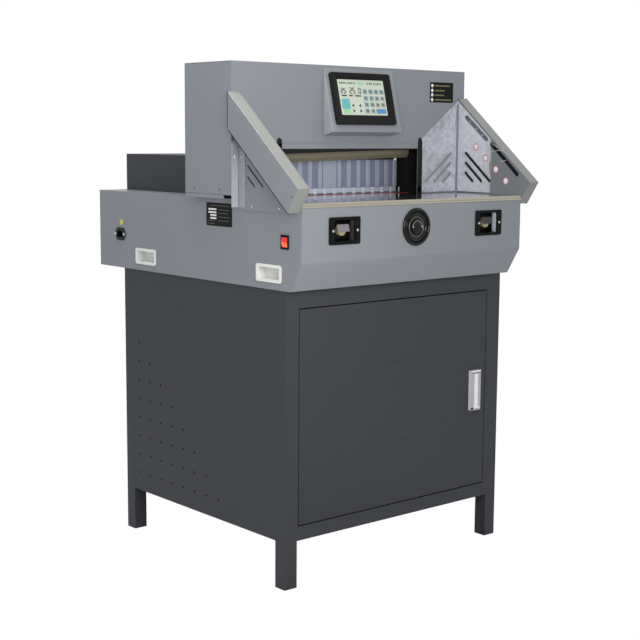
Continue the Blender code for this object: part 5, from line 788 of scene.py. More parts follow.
def soften(node, width, finish, segments=2, least=None, trim=None):
    """A CAD node's stand-in, a copy with its folds rounded and its sheet's edges less so."""
    bm = merged_copy(node)
    if trim:
        trim(bm)
    least = sizes().long_edge if least is None else least
    rims = [e for e in sharp_edges(bm, least) if slimness(e) < width * 3]
    if rims:
        bevel(bm, rims, min(width, min(slimness(e) for e in rims) * RIM_SHARE), 2)
    folds = [e for e in sharp_edges(bm, least) if slimness(e) >= width * 3]
    if folds:
        bevel(bm, folds, width, segments)
    return even_normals(place_piece(bm, node + "_shell", BODY_OF[node], finish, (node,)))


def repaint(piece, finish, chosen):
    """Give a second finish to the faces that a test picks."""
    piece.data.materials.append(FINISHES[finish])
    spare = len(piece.data.materials) - 1
    for face in piece.data.polygons:
        if chosen(face):
            face.material_index = spare


def absorb(bm, part):
    """Take the faces of another bmesh in."""
    mesh = bpy.data.meshes.new("part")
    part.to_mesh(mesh)
    part.free()
    bm.from_mesh(mesh)
    bpy.data.meshes.remove(mesh)


def edges_along(bm, way):
    """The edges that run along a direction."""
    return [e for e in bm.edges if abs((e.verts[1].co - e.verts[0].co).normalized().dot(way)) > ALONG]


def add_plate(bm, middle, right, out, width, height, thickness, corner, ease=None):
    """A thin plate with round corners and an eased front, whose back is centred on a point."""
    right, out = Vector(right), Vector(out)
    turn = Matrix((right, out.cross(right), out)).transposed().to_4x4()
    place = Matrix.Translation(Vector(middle) + out * thickness / 2) @ turn
    part = bmesh.new()
    bmesh.ops.create_cube(part, size=1, matrix=place @ Matrix.Diagonal((width, height, thickness, 1)))
    least, most = PLATE_CORNER
    radius = max(min(corner, width * most, height * most), min(width, height) * least)
    bevel(part, edges_along(part, out), radius, 4)
    part.normal_update()
    front = max(part.faces, key=lambda face: face.normal.dot(out))
    bevel(part, front.edges[:], ease or min(thickness * PLATE_EASE[0], radius * PLATE_EASE[1]), 1)
    absorb(bm, part)


def add_strip(bm, start, end, out, width, thickness):
    """A thin strip with round ends from one point to another."""
    start, end = Vector(start), Vector(end)
    add_plate(bm, (start + end) / 2, (end - start).normalized(), out, (end - start).length + width, width,
              thickness, width / 2)


def put_plate(name, body, finish, slot_name, *plate):
    """One plate as a piece of its own."""
    bm = bmesh.new()
    add_plate(bm, *plate)
    place_piece(bm, name, body, finish)


def inner_corner():
    """X and Y of the right corner guard's inner faces, just clear of them."""
    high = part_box("corner_guard_right")[1]
    return high[0] - sizes().guard_sheet - SKIN, high[1] - sizes().guard_sheet - SKIN


def lathe(bm, profile, centre, axis, across, steps=48):
    """Spin a profile, pairs of radius and height along the axis, into a closed turned shape."""
    axis, across, centre = Vector(axis), Vector(across), Vector(centre)
    verts = [bm.verts.new(centre + across * radius + axis * height) for radius, height in profile]
    edges = [bm.edges.new(pair) for pair in zip(verts, verts[1:])]
    bmesh.ops.spin(bm, geom=verts + edges, cent=centre, axis=axis, angle=math.tau, steps=steps,
                   use_merge=True, use_duplicate=False)
    bmesh.ops.remove_doubles(bm, verts=bm.verts, dist=MERGE)
    bmesh.ops.recalc_face_normals(bm, faces=bm.faces)


class Facet:
    """The largest flat face of a node that looks a given way, with places on it as shares across and down."""

    def __init__(self, node, way):
        bm = merged_copy(node)
        seen = [face for face in bm.faces if face.normal.dot(Vector(way)) > LEANING]
        largest = max(seen, key=lambda each: each.calc_area())
        self.out = largest.normal.copy()
        self.up = (Vector(UP) - self.out * self.out.z).normalized()
        self.right = self.up.cross(self.out)
        level = largest.verts[0].co.dot(self.out)
        near = MERGE * 5
        points = [vert.co for face in seen for vert in face.verts
                  if abs(vert.co.dot(self.out) - level) < near]
        across = [point.dot(self.right) for point in points]
        upward = [point.dot(self.up) for point in points]
        self.width = max(across) - min(across)
        self.height = max(upward) - min(upward)
        self.corner = self.right * min(across) + self.up * max(upward) + self.out * level
        bm.free()

    def at(self, across, down, rise=0.0):
        """A point at shares across and down the face and a height above it."""
        return self.corner + self.right * self.width * across - self.up * self.height * down + self.out * rise


def reshape(bm, face, facet, centre, width, height):
    """Move and stretch a rectangular face so that it lies about a centre, as wide and as high as given."""
    sideways = [vert.co.dot(facet.right) for vert in face.verts]
    upward = [vert.co.dot(facet.up) for vert in face.verts]
    old = face.calc_center_median()
    turn = Matrix((facet.right, facet.up, facet.out)).transposed().to_4x4()
    scale = Matrix.Diagonal((width / (max(sideways) - min(sideways)), height / (max(upward) - min(upward)),
                             1, 1))
    middle = facet.right * (max(sideways) + min(sideways)) / 2 + facet.up * (max(upward) + min(upward)) / 2 \
        + facet.out * old.dot(facet.out)
    matrix = Matrix.Translation(centre) @ turn @ scale @ turn.inverted() @ Matrix.Translation(-middle)
    bmesh.ops.transform(bm, matrix=matrix, verts=face.verts[:])


def slab(bm, facet, across, down, rise, thickness, corner=0.0):
    """A thin plate on a face between shares across and down it."""
    middle = facet.at((across[0] + across[1]) / 2, (down[0] + down[1]) / 2, rise)
    add_plate(bm, middle, facet.right, facet.out, facet.width * (across[1] - across[0]),
              facet.height * (down[1] - down[0]), thickness, corner)


def screw_head(bm, place, out, diameter, rise):
    """A pan-head screw with a dimpled drive, standing on a surface."""
    radius = diameter / 2
    across = Vector(UP) if abs(out[2]) < FACING else Vector(RIGHT)
    lathe(bm, [(radius * share, rise * height) for share, height in SCREW_SECTION], place, out, across,
          SCREW_STEPS)


def split_by_ray(tree, lit_socket, seen_socket, end_socket):
    """One shader for the light that falls on things, and another for what the picture's ground shows."""
    path = tree.nodes.new("ShaderNodeLightPath")
    mixed = tree.nodes.new("ShaderNodeMixShader")
    tree.links.new(path.outputs["Is Camera Ray"], mixed.inputs["Fac"])
    tree.links.new(lit_socket, mixed.inputs[1])
    tree.links.new(seen_socket, mixed.inputs[2])
    tree.links.new(mixed.outputs["Shader"], end_socket)


class CutterOperator:
    """What all the operators share."""

    bl_options = {"REGISTER", "UNDO"}


class CUTTER_OT_finishes(CutterOperator, bpy.types.Operator):
    """Build every finish and give each solid that stays its own"""

    bl_idname = "cutter.finishes"
    bl_label = "Finishes"

    def execute(self, context):
        build_finishes()
        special = {"knife_blade": "oiled_steel", "clamp_beam": "oiled_steel", "light_curtain_left": "lens",
                   "light_curtain_right": "lens", "worktable": "table_steel"}
        for node, obj in frame["nodes"].items():
            finish = FINISHES[special.get(node, SLOTS[node])]
            obj.data.materials.clear()
            obj.data.materials.append(finish)
            for poly in obj.data.polygons:
                poly.material_index = 0
        return {"FINISHED"}


class CUTTER_OT_casing(CutterOperator, bpy.types.Operator):
    """Round the folded edges of the body, the head and the guard arms"""

    bl_idname = "cutter.casing"
    bl_label = "Casing"

    def execute(self, context):
        for node in ("body_front_panel", "body_side_left", "body_side_right", "body_rear_cover",
                     "head_side_left",
                     "head_side_right", "head_top_cover", "guard_arm_left", "guard_arm_right", "display_pod"):
            soften(node, sizes().fold_round, "grey_paint")
        soften("head_front_cover", sizes().plate_round * 2, "grey_paint")
        soften("rear_guard", sizes().plate_round * 2, "dark_paint")
        # The pod's left-facing faces get that painted light
        repaint(bpy.data.objects["display_pod_shell"], "pod_cheek_painted_light", lambda face: face.normal.x < -FACING)
        for side in ("left", "right"):
            # The arms' top and front faces get painted light
            repaint(bpy.data.objects["guard_arm_" + side + "_shell"], "arm_edge_painted_light",
                    lambda face: abs(face.normal.x) < ARM_EDGE_FACING and face.normal.y < -ARM_EDGE_FACING)
        self.add_slot()
        self.add_skirts()
        return {"FINISHED"}

    def add_slot(self):
        """The slot ends left and right of the opening as black slabs of painted shade, the opening's rim and
        the line along the trim.
        """
        size = sizes()
        foot, top = size.slot_span
        face = Facet("head_front_cover", FRONT)
        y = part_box("head_front_cover")[0][1] - SKIN / 2
        half = size.slot_width / 2
        bm = bmesh.new()
        add_strip(bm, (size.slot_place, y, top - half), (size.slot_place, y, foot + half), face.out,
                  size.slot_width, SKIN / 2)
        add_plate(bm, (size.slot_place, y, foot + half * SLOT_FOOT), face.right, face.out, size.slot_width,
                  half * SLOT_FOOT * 2, SKIN / 2, 0)
        left, right = size.end_slot
        half = (right - left) / 2
        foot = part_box("worktable")[1][2] + SKIN * 2
        add_strip(bm, ((left + right) / 2, y, size.end_slot_top - half), ((left + right) / 2, y, foot + half),
                  face.out, right - left, SKIN / 2)
        add_plate(bm, ((left + right) / 2, y, foot + half), face.right, face.out, right - left, half * 2,
                  SKIN / 2, 0)
        # Black slabs that paint the shade inside the slot ends
        place_piece(bm, "slot_end_painted_shade", "machine", "painted_shade_black")
        rim = (left - size.crease_width * RIM_GAP, y, (size.slot_span[0] + foot) / 2)
        put_plate("opening_rim", "machine", "jamb_grey", "grey_paint", rim, face.right, face.out,
                  size.crease_width, size.slot_span[0] - foot - SKIN, SKIN, 0)
        low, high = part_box("table_trim")
        line = ((low[0] + high[0]) / 2, low[1] + SKIN / 2, low[2] + (high[2] - low[2]) * TRIM_LINE_SHARE)
        put_plate("trim_line", "machine", "olive_line", "pale_trim", line, face.right, face.out,
                  high[0] - low[0] - SKIN * 4, size.trim_line, SKIN, 0)

    def add_skirts(self):
        """A strip under each side of the head, down to the body's top."""
        size = sizes()
        for side, way in SIDES:
            low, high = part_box("head_side_" + side)
            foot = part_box("body_side_" + side)[1][2] + SKIN * 2
            outer = (low[0] if way < 0 else high[0]) - way * size.guard_sheet
            middle = (outer, (size.skirt_front + size.skirt_rear) / 2, (foot + low[2]) / 2)
            put_plate("head_skirt_" + side, "machine", "grey_paint", "grey_paint", middle, (0, -way, 0),
                      (way, 0, 0),
                      size.skirt_rear - size.skirt_front, low[2] - foot - SKIN, size.guard_sheet, 0)


class CUTTER_OT_guards(CutterOperator, bpy.types.Operator):
    """Round the edges of the guard plates and give them zinc and film"""

    bl_idname = "cutter.guards"
    bl_label = "Guard plates"

    def execute(self, context):
        size = sizes()
        for side, way in SIDES:
            sheet = soften("side_guard_" + side, size.plate_round, "grey_paint", least=LEAST_EDGE["guard"])
            # The side guard's inward faces get painted shade
            repaint(sheet, "guard_inner_painted_shade", lambda face: face.normal.x * way < -FACING)
            corner = soften("corner_guard_" + side, size.plate_round, "guard_plate",
                            least=LEAST_EDGE["guard"], trim=self.narrow_front if side == "left" else None)
            # The corner guard's front faces get a more speckled film that is lighter as painted light
            repaint(corner, "guard_front_speckle_and_light", lambda face: face.normal.y < -FACING)
            angle = soften("outer_angle_" + side, size.plate_round, "angle_film_painted_light", least=LEAST_EDGE["guard"])
            # The outer angle's front leg gets painted light and its side leg painted shade
            repaint(angle, "angle_side_painted_shade", lambda face: abs(face.normal.x) > FACING)
            self.add_louvre_shade_sheet(side, way)
            self.add_arm_painted_shadow(side, way)
            self.add_angle_fold(side, way)
        self.add_louvre_painted_shade()
        self.add_corner_painted_shade()
        self.add_windows()
        return {"FINISHED"}

    def narrow_front(self, bm):
        """Cut the left corner guard's front leg down to what the arm covers."""
        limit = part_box("corner_guard_left")[0][0] + sizes().left_leg_width
        geom = bm.verts[:] + bm.edges[:] + bm.faces[:]
        cut = bmesh.ops.bisect_plane(bm, geom=geom, plane_co=(limit, 0, 0), plane_no=RIGHT, clear_outer=True)
        rim = [e for e in cut["geom_cut"] if isinstance(e, bmesh.types.BMEdge)]
        bmesh.ops.holes_fill(bm, edges=rim, sides=0)
        bmesh.ops.recalc_face_normals(bm, faces=bm.faces)

    def add_louvre_shade_sheet(self, side, way):
        """A thin dark sheet of painted shade between the louvred leg and the side guard."""
        size = sizes()
        low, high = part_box("corner_guard_" + side)
        x = high[0] if way > 0 else low[0]
        (front, rear), (foot, top) = size.shade_sheet_depths, size.shade_sheet_heights
        put_plate("louvre_shade_sheet_" + side, "machine", "painted_shade_black", "black_plastic",
                  (x + way * SKIN, (front + rear) / 2, (foot + top) / 2), (0, way, 0), (-way, 0, 0),
                  rear - front, top - foot, SKIN / 2, size.small_screw)

    def add_arm_painted_shadow(self, side, way):
        """Painted shadow along the lower and rear edges of the arm's outer face, as a thin dark edging."""
        size = sizes()
        arm = merged_copy("guard_arm_" + side)
        outer = max(arm.faces, key=lambda face: face.normal.x * way * face.calc_area())
        corners = [vert.co.copy() for vert in outer.verts]
        arm.free()
        foot = min(corners, key=lambda place: place.z)
        low, top = sorted((place for place in corners if place.y > foot.y + size.arm_rear),
                          key=lambda place: place.z)
        bm = bmesh.new()
        for start, end in ((foot, low), (low, top)):
            along = (end - start).normalized()
            out = Vector((0, along.z, -along.y))
            shift = Vector((-way * (size.shadow_width / 2 + SKIN), 0, 0))
            trim = along * size.shadow_width / 2
            add_strip(bm, start + shift + trim, end + shift - trim, out, size.shadow_width, size.shadow_rise)
        place_piece(bm, "arm_painted_shadow_" + side, "machine", "painted_shade_black")

    def add_angle_fold(self, side, way):
        """A painted shade line along the fold between the two legs of the outer angle, and a screw in each
        leg with painted shade in its drive.
        """
        size = sizes()
        low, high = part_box("outer_angle_" + side)
        inner = high[0] if way < 0 else low[0]
        crease = (inner + way * size.guard_sheet, high[1] - size.guard_sheet, 0)
        bm = bmesh.new()
        out = Vector((way, -1, 0)).normalized()
        start = Vector((*crease[:2], low[2] + size.crease_width))
        end = Vector((*crease[:2], high[2] - size.crease_width))
        add_strip(bm, start + out * SKIN, end + out * SKIN, out, size.crease_width, SKIN)
        place_piece(bm, "angle_crease_painted_shade_" + side, "machine", "painted_shade_slate")
        screws = bmesh.new()
        height = low[2] + size.angle_screw_rise
        middle = (low[0] + high[0]) / 2
        drive_shades = bmesh.new()
        for place, out, wide in (((middle, high[1] - size.guard_sheet - SKIN, height), FRONT, 1.0),
                                 ((inner + way * (size.guard_sheet + SKIN), (low[1] + high[1]) / 2, height),
                                  (way, 0, 0), SIDE_SCREW)):
            screw_head(screws, place, out, size.angle_screw * wide, size.screw_rise)
            screw_head(drive_shades, Vector(place) + Vector(out) * size.screw_rise, out,
                       size.angle_screw * wide * SCREW_DRIVE_SHADE, SKIN)
        place_piece(drive_shades, "angle_screw_drive_shades_" + side, "machine", "painted_shade_black")
        place_piece(screws, "angle_screws_" + side, "machine", "white_mark_and_glint")

    def add_louvre_painted_shade(self):
        """Painted shade over the right guard's louvres: black in its side leg, grey in its front leg."""
        size = sizes()
        x, y = inner_corner()
        black, grey = bmesh.new(), bmesh.new()
        for (start_y, start_z), (end_y, end_z) in SIDE_LOUVRES:
            add_strip(black, (x, start_y, start_z), (x, end_y, end_z), LEFT, size.louvre_width, SKIN / 2)
        for (start_x, start_z), (end_x, end_z) in FRONT_LOUVRES:
            add_strip(grey, (start_x, y, start_z), (end_x, y, end_z), FRONT, size.louvre_width, SKIN / 2)
        place_piece(black, "louvre_painted_shade_side", "machine", "painted_shade_black")
        place_piece(grey, "louvre_painted_shade_front", "machine", "louvre_painted_shade_grey")

    def add_corner_painted_shade(self):
        """A slate strip of painted shade down the inner corner of the right guard."""
        size = sizes()
        low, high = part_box("corner_guard_right")
        x, y = inner_corner()
        half = size.corner_strip / 2
        inset, span = CORNER_STRIP_FIT
        place = Vector((x - half * inset, y - half * inset, 0))
        out = Vector((-1, -1, 0)).normalized()
        bm = bmesh.new()
        add_strip(bm, place + Vector((0, 0, low[2] + half)), place + Vector((0, 0, high[2] - half * 4)), out,
                  size.corner_strip * span, SKIN)
        place_piece(bm, "guard_corner_painted_shade", "machine", "painted_shade_slate")

    def add_windows(self):
        """Slate glass with three pale dots in the right guard's upper window, and torn strands of film."""
        size = sizes()
        glass, dots, film = bmesh.new(), bmesh.new(), bmesh.new()
        (start_y, start_z), (end_y, end_z) = UPPER_WINDOW
        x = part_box("light_curtain_right")[0][0] - SKIN
        add_strip(glass, (x, start_y, start_z), (x, end_y, end_z), LEFT, size.window_width, SKIN / 2)
        for y, z in WINDOW_DOTS:
            add_strip(dots, (x - SKIN, y - SKIN, z), (x - SKIN, y + SKIN, z), LEFT, size.window_dot, SKIN / 2)
        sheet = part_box("side_guard_right")[0][0] - SKIN
        for (first_y, first_z), (last_y, last_z) in FILM_STRANDS:
            add_strip(film, (sheet, first_y, first_z), (sheet, last_y, last_z), LEFT, size.film_strand, SKIN)
        place_piece(glass, "window_glass", "machine", "lens_slate")
        place_piece(dots, "window_dots", "machine", "lens_dot")
        place_piece(film, "film_strands", "machine", "film_strip")


def is_groove(face, front):
    """Whether a face of the fence, whose front lies at a depth, is the floor of one of its grooves."""
    return face.normal.y < -FACING and face.center.y > front + GROOVE_BACK


class CUTTER_OT_table(CutterOperator, bpy.types.Operator):
    """Finish what shows in the opening: the cutting stick and the gauge's ribbed fence"""

    bl_idname = "cutter.table"
    bl_label = "Table"

    def execute(self, context):
        size = sizes()
        self.add_stick()
        fence = soften("back_gauge_fence", size.plate_round, "fence_face", least=LEAST_EDGE["fence"])
        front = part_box("back_gauge_fence")[0][1]
        lip_top = min(face.center.z for face in fence.data.polygons if face.normal.z > FACING)
        # The groove floors get painted light, a lighter copy of the fence's metal
        repaint(fence, "fence_pale_and_painted_light", lambda face: is_groove(face, front))
        repaint(fence, "fence_lip", lambda face: face.center.z < lip_top + size.plate_round)
        self.add_fence_strips(fence, front, lip_top)
        self.add_glints()
        return {"FINISHED"}

    def add_stick(self):
        """A red strip along the rear of the cutting stick, clear of the blade, just proud of the table."""
        size = sizes()
        low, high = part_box("cutting_stick")
        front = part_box("knife_blade")[1][1] + size.mark_gap * 3
        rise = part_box("worktable")[1][2] + size.stick_rise - high[2]
        put_plate("cutting_stick_rib", BODY_OF["cutting_stick"], "red_plastic", SLOTS["cutting_stick"],
                  ((low[0] + high[0]) / 2, (front + high[1]) / 2, high[2]), RIGHT, UP, high[0] - low[0],
                  high[1] - front, rise, 0)

    def add_fence_strips(self, fence, front, lip_top):
        """Pale glides in the fence's grooves, lit by painted light where their shade would fall, a wear
        plate, and marks and painted shadow lines on its lip.
        """
        size = sizes()
        low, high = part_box("back_gauge_fence")
        grooves = sorted({round(face.center.x, 3) for face in fence.data.polygons
                          if is_groove(face, front) and face.area > size.glide_area})
        glides, marks, shades = bmesh.new(), bmesh.new(), bmesh.new()
        foot, top = lip_top + size.plate_round * 2, high[2] - size.plate_round * 2
        floor = front + size.glide_depth
        for x in grooves:
            add_plate(glides, (x, floor, (foot + top) / 2), RIGHT, FRONT, size.glide_width, top - foot,
                      floor - front - SKIN, 0)
        left, right = size.wear_plate
        add_plate(glides, ((left + right) / 2, front + SKIN, (foot + top) / 2), RIGHT, FRONT, right - left,
                  top - foot, SKIN * 2, 0)
        half = (grooves[1] - grooves[0]) / 2
        for x in grooves:
            add_plate(marks, (x + half, low[1] - SKIN / 2, (low[2] + lip_top) / 2), RIGHT, FRONT,
                      size.lip_mark, (lip_top - low[2]) * LIP_MARK_TALL, SKIN, size.lip_mark / 2)
            add_plate(shades, (x, low[1] - SKIN / 2, low[2] + size.lip_shade * LIP_SHADE_MIDDLE), RIGHT,
                      FRONT, half * 2 - size.lip_mark * 3, size.lip_shade, SKIN, 0)
        body, slot = BODY_OF["back_gauge_fence"], SLOTS["back_gauge_fence"]
        place_piece(glides, "fence_glides", body, "fence_pale_and_painted_light")
        place_piece(marks, "fence_lip_marks", body, "white_mark_and_glint")
        place_piece(shades, "fence_lip_painted_shadows", body, "painted_shade_slate")

    def add_glints(self):
        """Two small painted glints at the right end of the blade, as white plates that ride on it."""
        bm, long, (wide, corner) = bmesh.new(), sizes().glint, GLINT_SHARES
        for place in GLINTS:
            add_plate(bm, place, Vector(GLINT_LEAN).normalized(), FRONT, long, long * wide, SKIN,
                      long * corner)
        place_piece(bm, "blade_painted_glints", BODY_OF["knife_blade"], "white_mark_and_glint")


class CUTTER_OT_stand(CutterOperator, bpy.types.Operator):
    """Round the stand's tubes and panels and the door"""

    bl_idname = "cutter.stand"
    bl_label = "Stand"

    def execute(self, context):
        soften("stand_frame", sizes().tube_round, "dark_paint", segments=3, least=LEAST_EDGE["stand"])
        for node in ("stand_back_panel", "stand_side_left", "stand_side_right"):
            soften(node, sizes().plate_round, "dark_paint", least=LEAST_EDGE["stand"])
        soften("cabinet_door", sizes().plate_round * 3, "dark_paint", least=LEAST_EDGE["stand"])
        self.add_handle()
        return {"FINISHED"}

    def add_handle(self):
        """The door's flat pull: a grey bar whose left face and bright middle band are painted highlights, a
        cap at its top and a finger hole of painted shade.
        """
        size = sizes()
        low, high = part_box("door_handle")
        right, out = RIGHT, FRONT
        wide, deep, tall = size.pull_width, size.pull_depth, size.pull_height
        left, back, middle = high[0] - wide, high[1], (low[2] + high[2]) / 2
        top, front = middle + tall / 2, back - deep
        body, slot = BODY_OF["door_handle"], SLOTS["door_handle"]
        bar = bmesh.new()
        add_plate(bar, (left + wide / 2, back, middle), right, out, wide, tall, deep, size.plate_round * 3,
                  size.plate_round)
        piece = place_piece(bar, "door_pull", body, "handle_grey", ("door_handle",))
        # The bar's left face gets a painted highlight
        repaint(piece, "handle_pale_and_highlight", lambda face: face.normal.x < -FACING)
        for name, finish, across, down in PULL_PARTS:
            place = (left + wide * sum(across) / 2, front, top - tall * sum(down) / 2)
            put_plate(name, body, finish, slot, place, right, out, wide * (across[1] - across[0]),
                      tall * (down[1] - down[0]), SKIN, size.plate_round)


class CUTTER_OT_display(CutterOperator, bpy.types.Operator):
    """Build the display's chamfered bezel and what its screen shows"""

    bl_idname = "cutter.display"
    bl_label = "Display"

    def execute(self, context):
        self.build_bezel()
        face = Facet("display_screen", FRONT)
        rise, thick = sizes().mark_gap, sizes().key_rise

        marks = bmesh.new()
        for u in SCREEN_MARKS:
            slab(marks, face, (u - SCREEN_MARK_HALF, u + SCREEN_MARK_HALF), SCREEN_MARK_ROW, rise, thick)
        for span in SCREEN_DASHES:
            slab(marks, face, span, SCREEN_DASH_ROW, rise, thick)
        for u in ARROW_COLUMNS:
            for v, reach in ARROWS:
                self.add_arrow(marks, face, u, v, reach)
        digits = bmesh.new()
        for shown, across, down in NUMBERS:
            self.add_number(digits, face, shown, across, down)
        place_piece(digits, "screen_digits", "machine", "screen_digit")
        place_piece(marks, "screen_marks", "machine", "screen_mark")

        cool, warm, labels = bmesh.new(), bmesh.new(), bmesh.new()
        for row, v in enumerate(KEY_ROWS):
            for column, u in enumerate(KEY_COLUMNS):
                if row == 3 and column > 1:
                    continue
                target = cool if column + row < 4 else warm
                wide, tall = KEY_HALF
                slab(target, face, (u - wide, u + wide), (v - tall, v + tall), rise, thick, KEY_CORNER)
                half, above, below = KEY_MARK
                slab(labels, face, (u - half, u + half), (v - above, v + below), rise + thick, thick)
        place_piece(cool, "screen_keys_cool", "machine", "screen_key")
        place_piece(warm, "screen_keys_warm", "machine", "screen_key_warm")
        place_piece(labels, "screen_key_marks", "machine", "screen_label")
        for name, finish, across, down in SCREEN_PATCHES:
            bm = bmesh.new()
            slab(bm, face, across, down, rise, thick, PATCH_CORNER)
            place_piece(bm, name, "machine", finish)
        return {"FINISHED"}

    def build_bezel(self):
        """A black frame with round corners, whose inner edge slopes down to the screen."""
        size = sizes()
        face = Facet("display_bezel", FRONT)
        screen = Facet("display_screen", FRONT)
        middle, opening = face.at(0.5, 0.5), screen.at(0.5, 0.5)
        opening = opening + face.out * (middle - opening).dot(face.out)
        inner = (screen.width + size.mark_gap * 2, screen.height + size.mark_gap * 2)
        lip = (face.width - size.bezel_rim * 2, inner[1] + size.bezel_slope * 2)
        bm = bmesh.new()
        add_plate(bm, middle - face.out * size.bezel_depth, face.right, face.out, face.width, face.height,
                  size.bezel_depth, size.bezel_corner, size.bezel_ease)
        bm.normal_update()
        front = max(bm.faces, key=lambda side: side.normal.dot(face.out) * side.calc_area())
        back = min(bm.faces, key=lambda side: side.normal.dot(face.out) * side.calc_area())
        for side, centre, span in ((front, middle.lerp(opening, SLOPE_CENTRE), lip),
                                   (front, opening - face.out * size.screen_drop, inner),
                                   (back, opening - face.out * size.bezel_depth, inner)):
            bmesh.ops.inset_individual(bm, faces=[side], thickness=size.bezel_ease)
            reshape(bm, side, face, centre, *span)
        rims = front.edges[:] + back.edges[:]
        bmesh.ops.delete(bm, geom=[front, back], context="FACES_ONLY")
        bmesh.ops.bridge_loops(bm, edges=rims)
        bmesh.ops.recalc_face_normals(bm, faces=bm.faces)
        place_piece(bm, "display_bezel_shell", "machine", "bezel_black", ("display_bezel",))

    def add_arrow(self, bm, face, u, v, reach):
        """A plain triangle that points up, or down where its reach is negative."""
        size = sizes()
        up = face.up * (1 if reach > 0 else -1)
        turn = Matrix((up, face.out.cross(up), face.out)).transposed().to_4x4()
        radius = abs(reach) * face.height
        place = Matrix.Translation(face.at(u, v, size.mark_gap + size.key_rise / 2))
        bmesh.ops.create_cone(bm, cap_ends=True, segments=3, radius1=radius, radius2=radius * ARROW_TAPER,
                              depth=size.key_rise, matrix=place @ turn)

    def add_number(self, bm, face, digits, across, down):
        """Digits of seven bars each, spread over shares across and down the screen."""
        step = (across[1] - across[0]) / len(digits)
        tall = down[1] - down[0]
        wide, thick = step * DIGIT_WIDE, BAR_THICK
        for i, digit in enumerate(digits):
            left = across[0] + step * i
            for key in DIGITS[digit]:
                u, v, flat = DIGIT_BARS[key]
                u, v = left + u * wide, down[0] + v * tall
                half_u = wide * FLAT_BAR[0] if flat else thick / 2
                half_v = thick * FLAT_BAR[1] if flat else tall * TALL_BAR
                slab(bm, face, (u - half_u, u + half_u), (v - half_v, v + half_v), sizes().mark_gap,
                     sizes().key_rise)
            if digit == ".":
                (start, end), (above, below) = POINT_PLACE
                slab(bm, face, (left + wide * start, left + wide * end), (down[1] - above, down[1] + below),
                     sizes().mark_gap, sizes().key_rise)


class CUTTER_OT_handwheel(CutterOperator, bpy.types.Operator):
    """Turn the handwheel, its bright ring and the dished surround"""

    bl_idname = "cutter.handwheel"
    bl_label = "Handwheel"

    def execute(self, context):
        low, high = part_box("handwheel")
        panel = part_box("body_front_panel")[0][1]
        centre = ((low[0] + high[0]) / 2, panel, (low[2] + high[2]) / 2)
        radius, proud, back = (high[0] - low[0]) / 2, panel - low[1], panel - high[1]
        dish_low, dish_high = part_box("handwheel_dish")
        flange, lip, pot = (dish_high[0] - dish_low[0]) / 2, panel - dish_low[1], panel - dish_high[1]
        shaft, boss = sizes().wheel_shaft, sizes().wheel_boss
        hub_back, rim_back = pot + sizes().dish_wall, -radius / 3
        out, across = FRONT, RIGHT

        wheel = bmesh.new()
        face = [(radius * share, proud * rise) for share, rise in WHEEL_FACE]
        lathe(wheel, face + [(radius, rim_back), (boss, rim_back), (boss, hub_back), (shaft, hub_back),
                             (shaft, back), (0, back)], centre, out, across, WHEEL_STEPS)
        place_piece(wheel, "handwheel_turned", "handwheel", "wheel_black", ("handwheel",))
        self.add_hub_reflection(Vector(centre), radius, proud)

        ring = bmesh.new()
        lathe(ring, [(radius * share, proud * rise) for share, rise in WHEEL_RING], centre, out, across,
              WHEEL_STEPS)
        place_piece(ring, "handwheel_ring", "handwheel", "grey_ring")

        dish = bmesh.new()
        wall, bore = sizes().dish_wall, radius + sizes().dish_gap
        neck, base = shaft + DISH_FIT, bore + wall
        profile = [(neck, pot + wall), (bore - wall, pot + wall), (bore, lip - DISH_ROUND),
                   (bore + DISH_ROUND, lip),
                   *((flange - inset, lip * share) for inset, share in DISH_SHOULDER), (flange, DISH_FIT),
                   (base, DISH_FIT), (base, pot), (neck, pot), (neck, pot + wall)]
        lathe(dish, profile, centre, out, across, WHEEL_STEPS)
        place_piece(dish, "handwheel_dish_turned", "machine", "wheel_black",
                    ("handwheel_dish",))
        return {"FINISHED"}

    def add_hub_reflection(self, centre, radius, proud):
        """A painted reflection over the hub: a thin bright arc, and a small white dot at each of its ends."""
        size = sizes()
        out = Vector(FRONT)
        arc, reach = bmesh.new(), radius * size.hub_arc
        centre = centre + out * proud * HUB_ARC_RISE
        ring = bmesh.ops.create_circle(arc, cap_ends=True, segments=HUB_ARC_SECTION, radius=size.hub_wire,
                                       matrix=Matrix.Translation(centre + Vector((reach, 0, 0))))
        geom = ring["verts"] + arc.edges[:] + arc.faces[:]
        bmesh.ops.spin(arc, geom=geom, cent=centre, axis=-out, angle=-math.pi, steps=HUB_ARC_STEPS,
                       use_duplicate=False)
        bmesh.ops.recalc_face_normals(arc, faces=arc.faces)
        place_piece(arc, "handwheel_reflection_arc", "handwheel", "arc_painted_reflection")
        reflection_dots = bmesh.new()
        for way in (-1, 1):
            screw_head(reflection_dots, centre + Vector((reach * way, 0, 0)), out, size.hub_wire * HUB_DOT,
                       size.screw_rise)
        place_piece(reflection_dots, "handwheel_reflection_dots", "handwheel", "white_mark_and_glint")


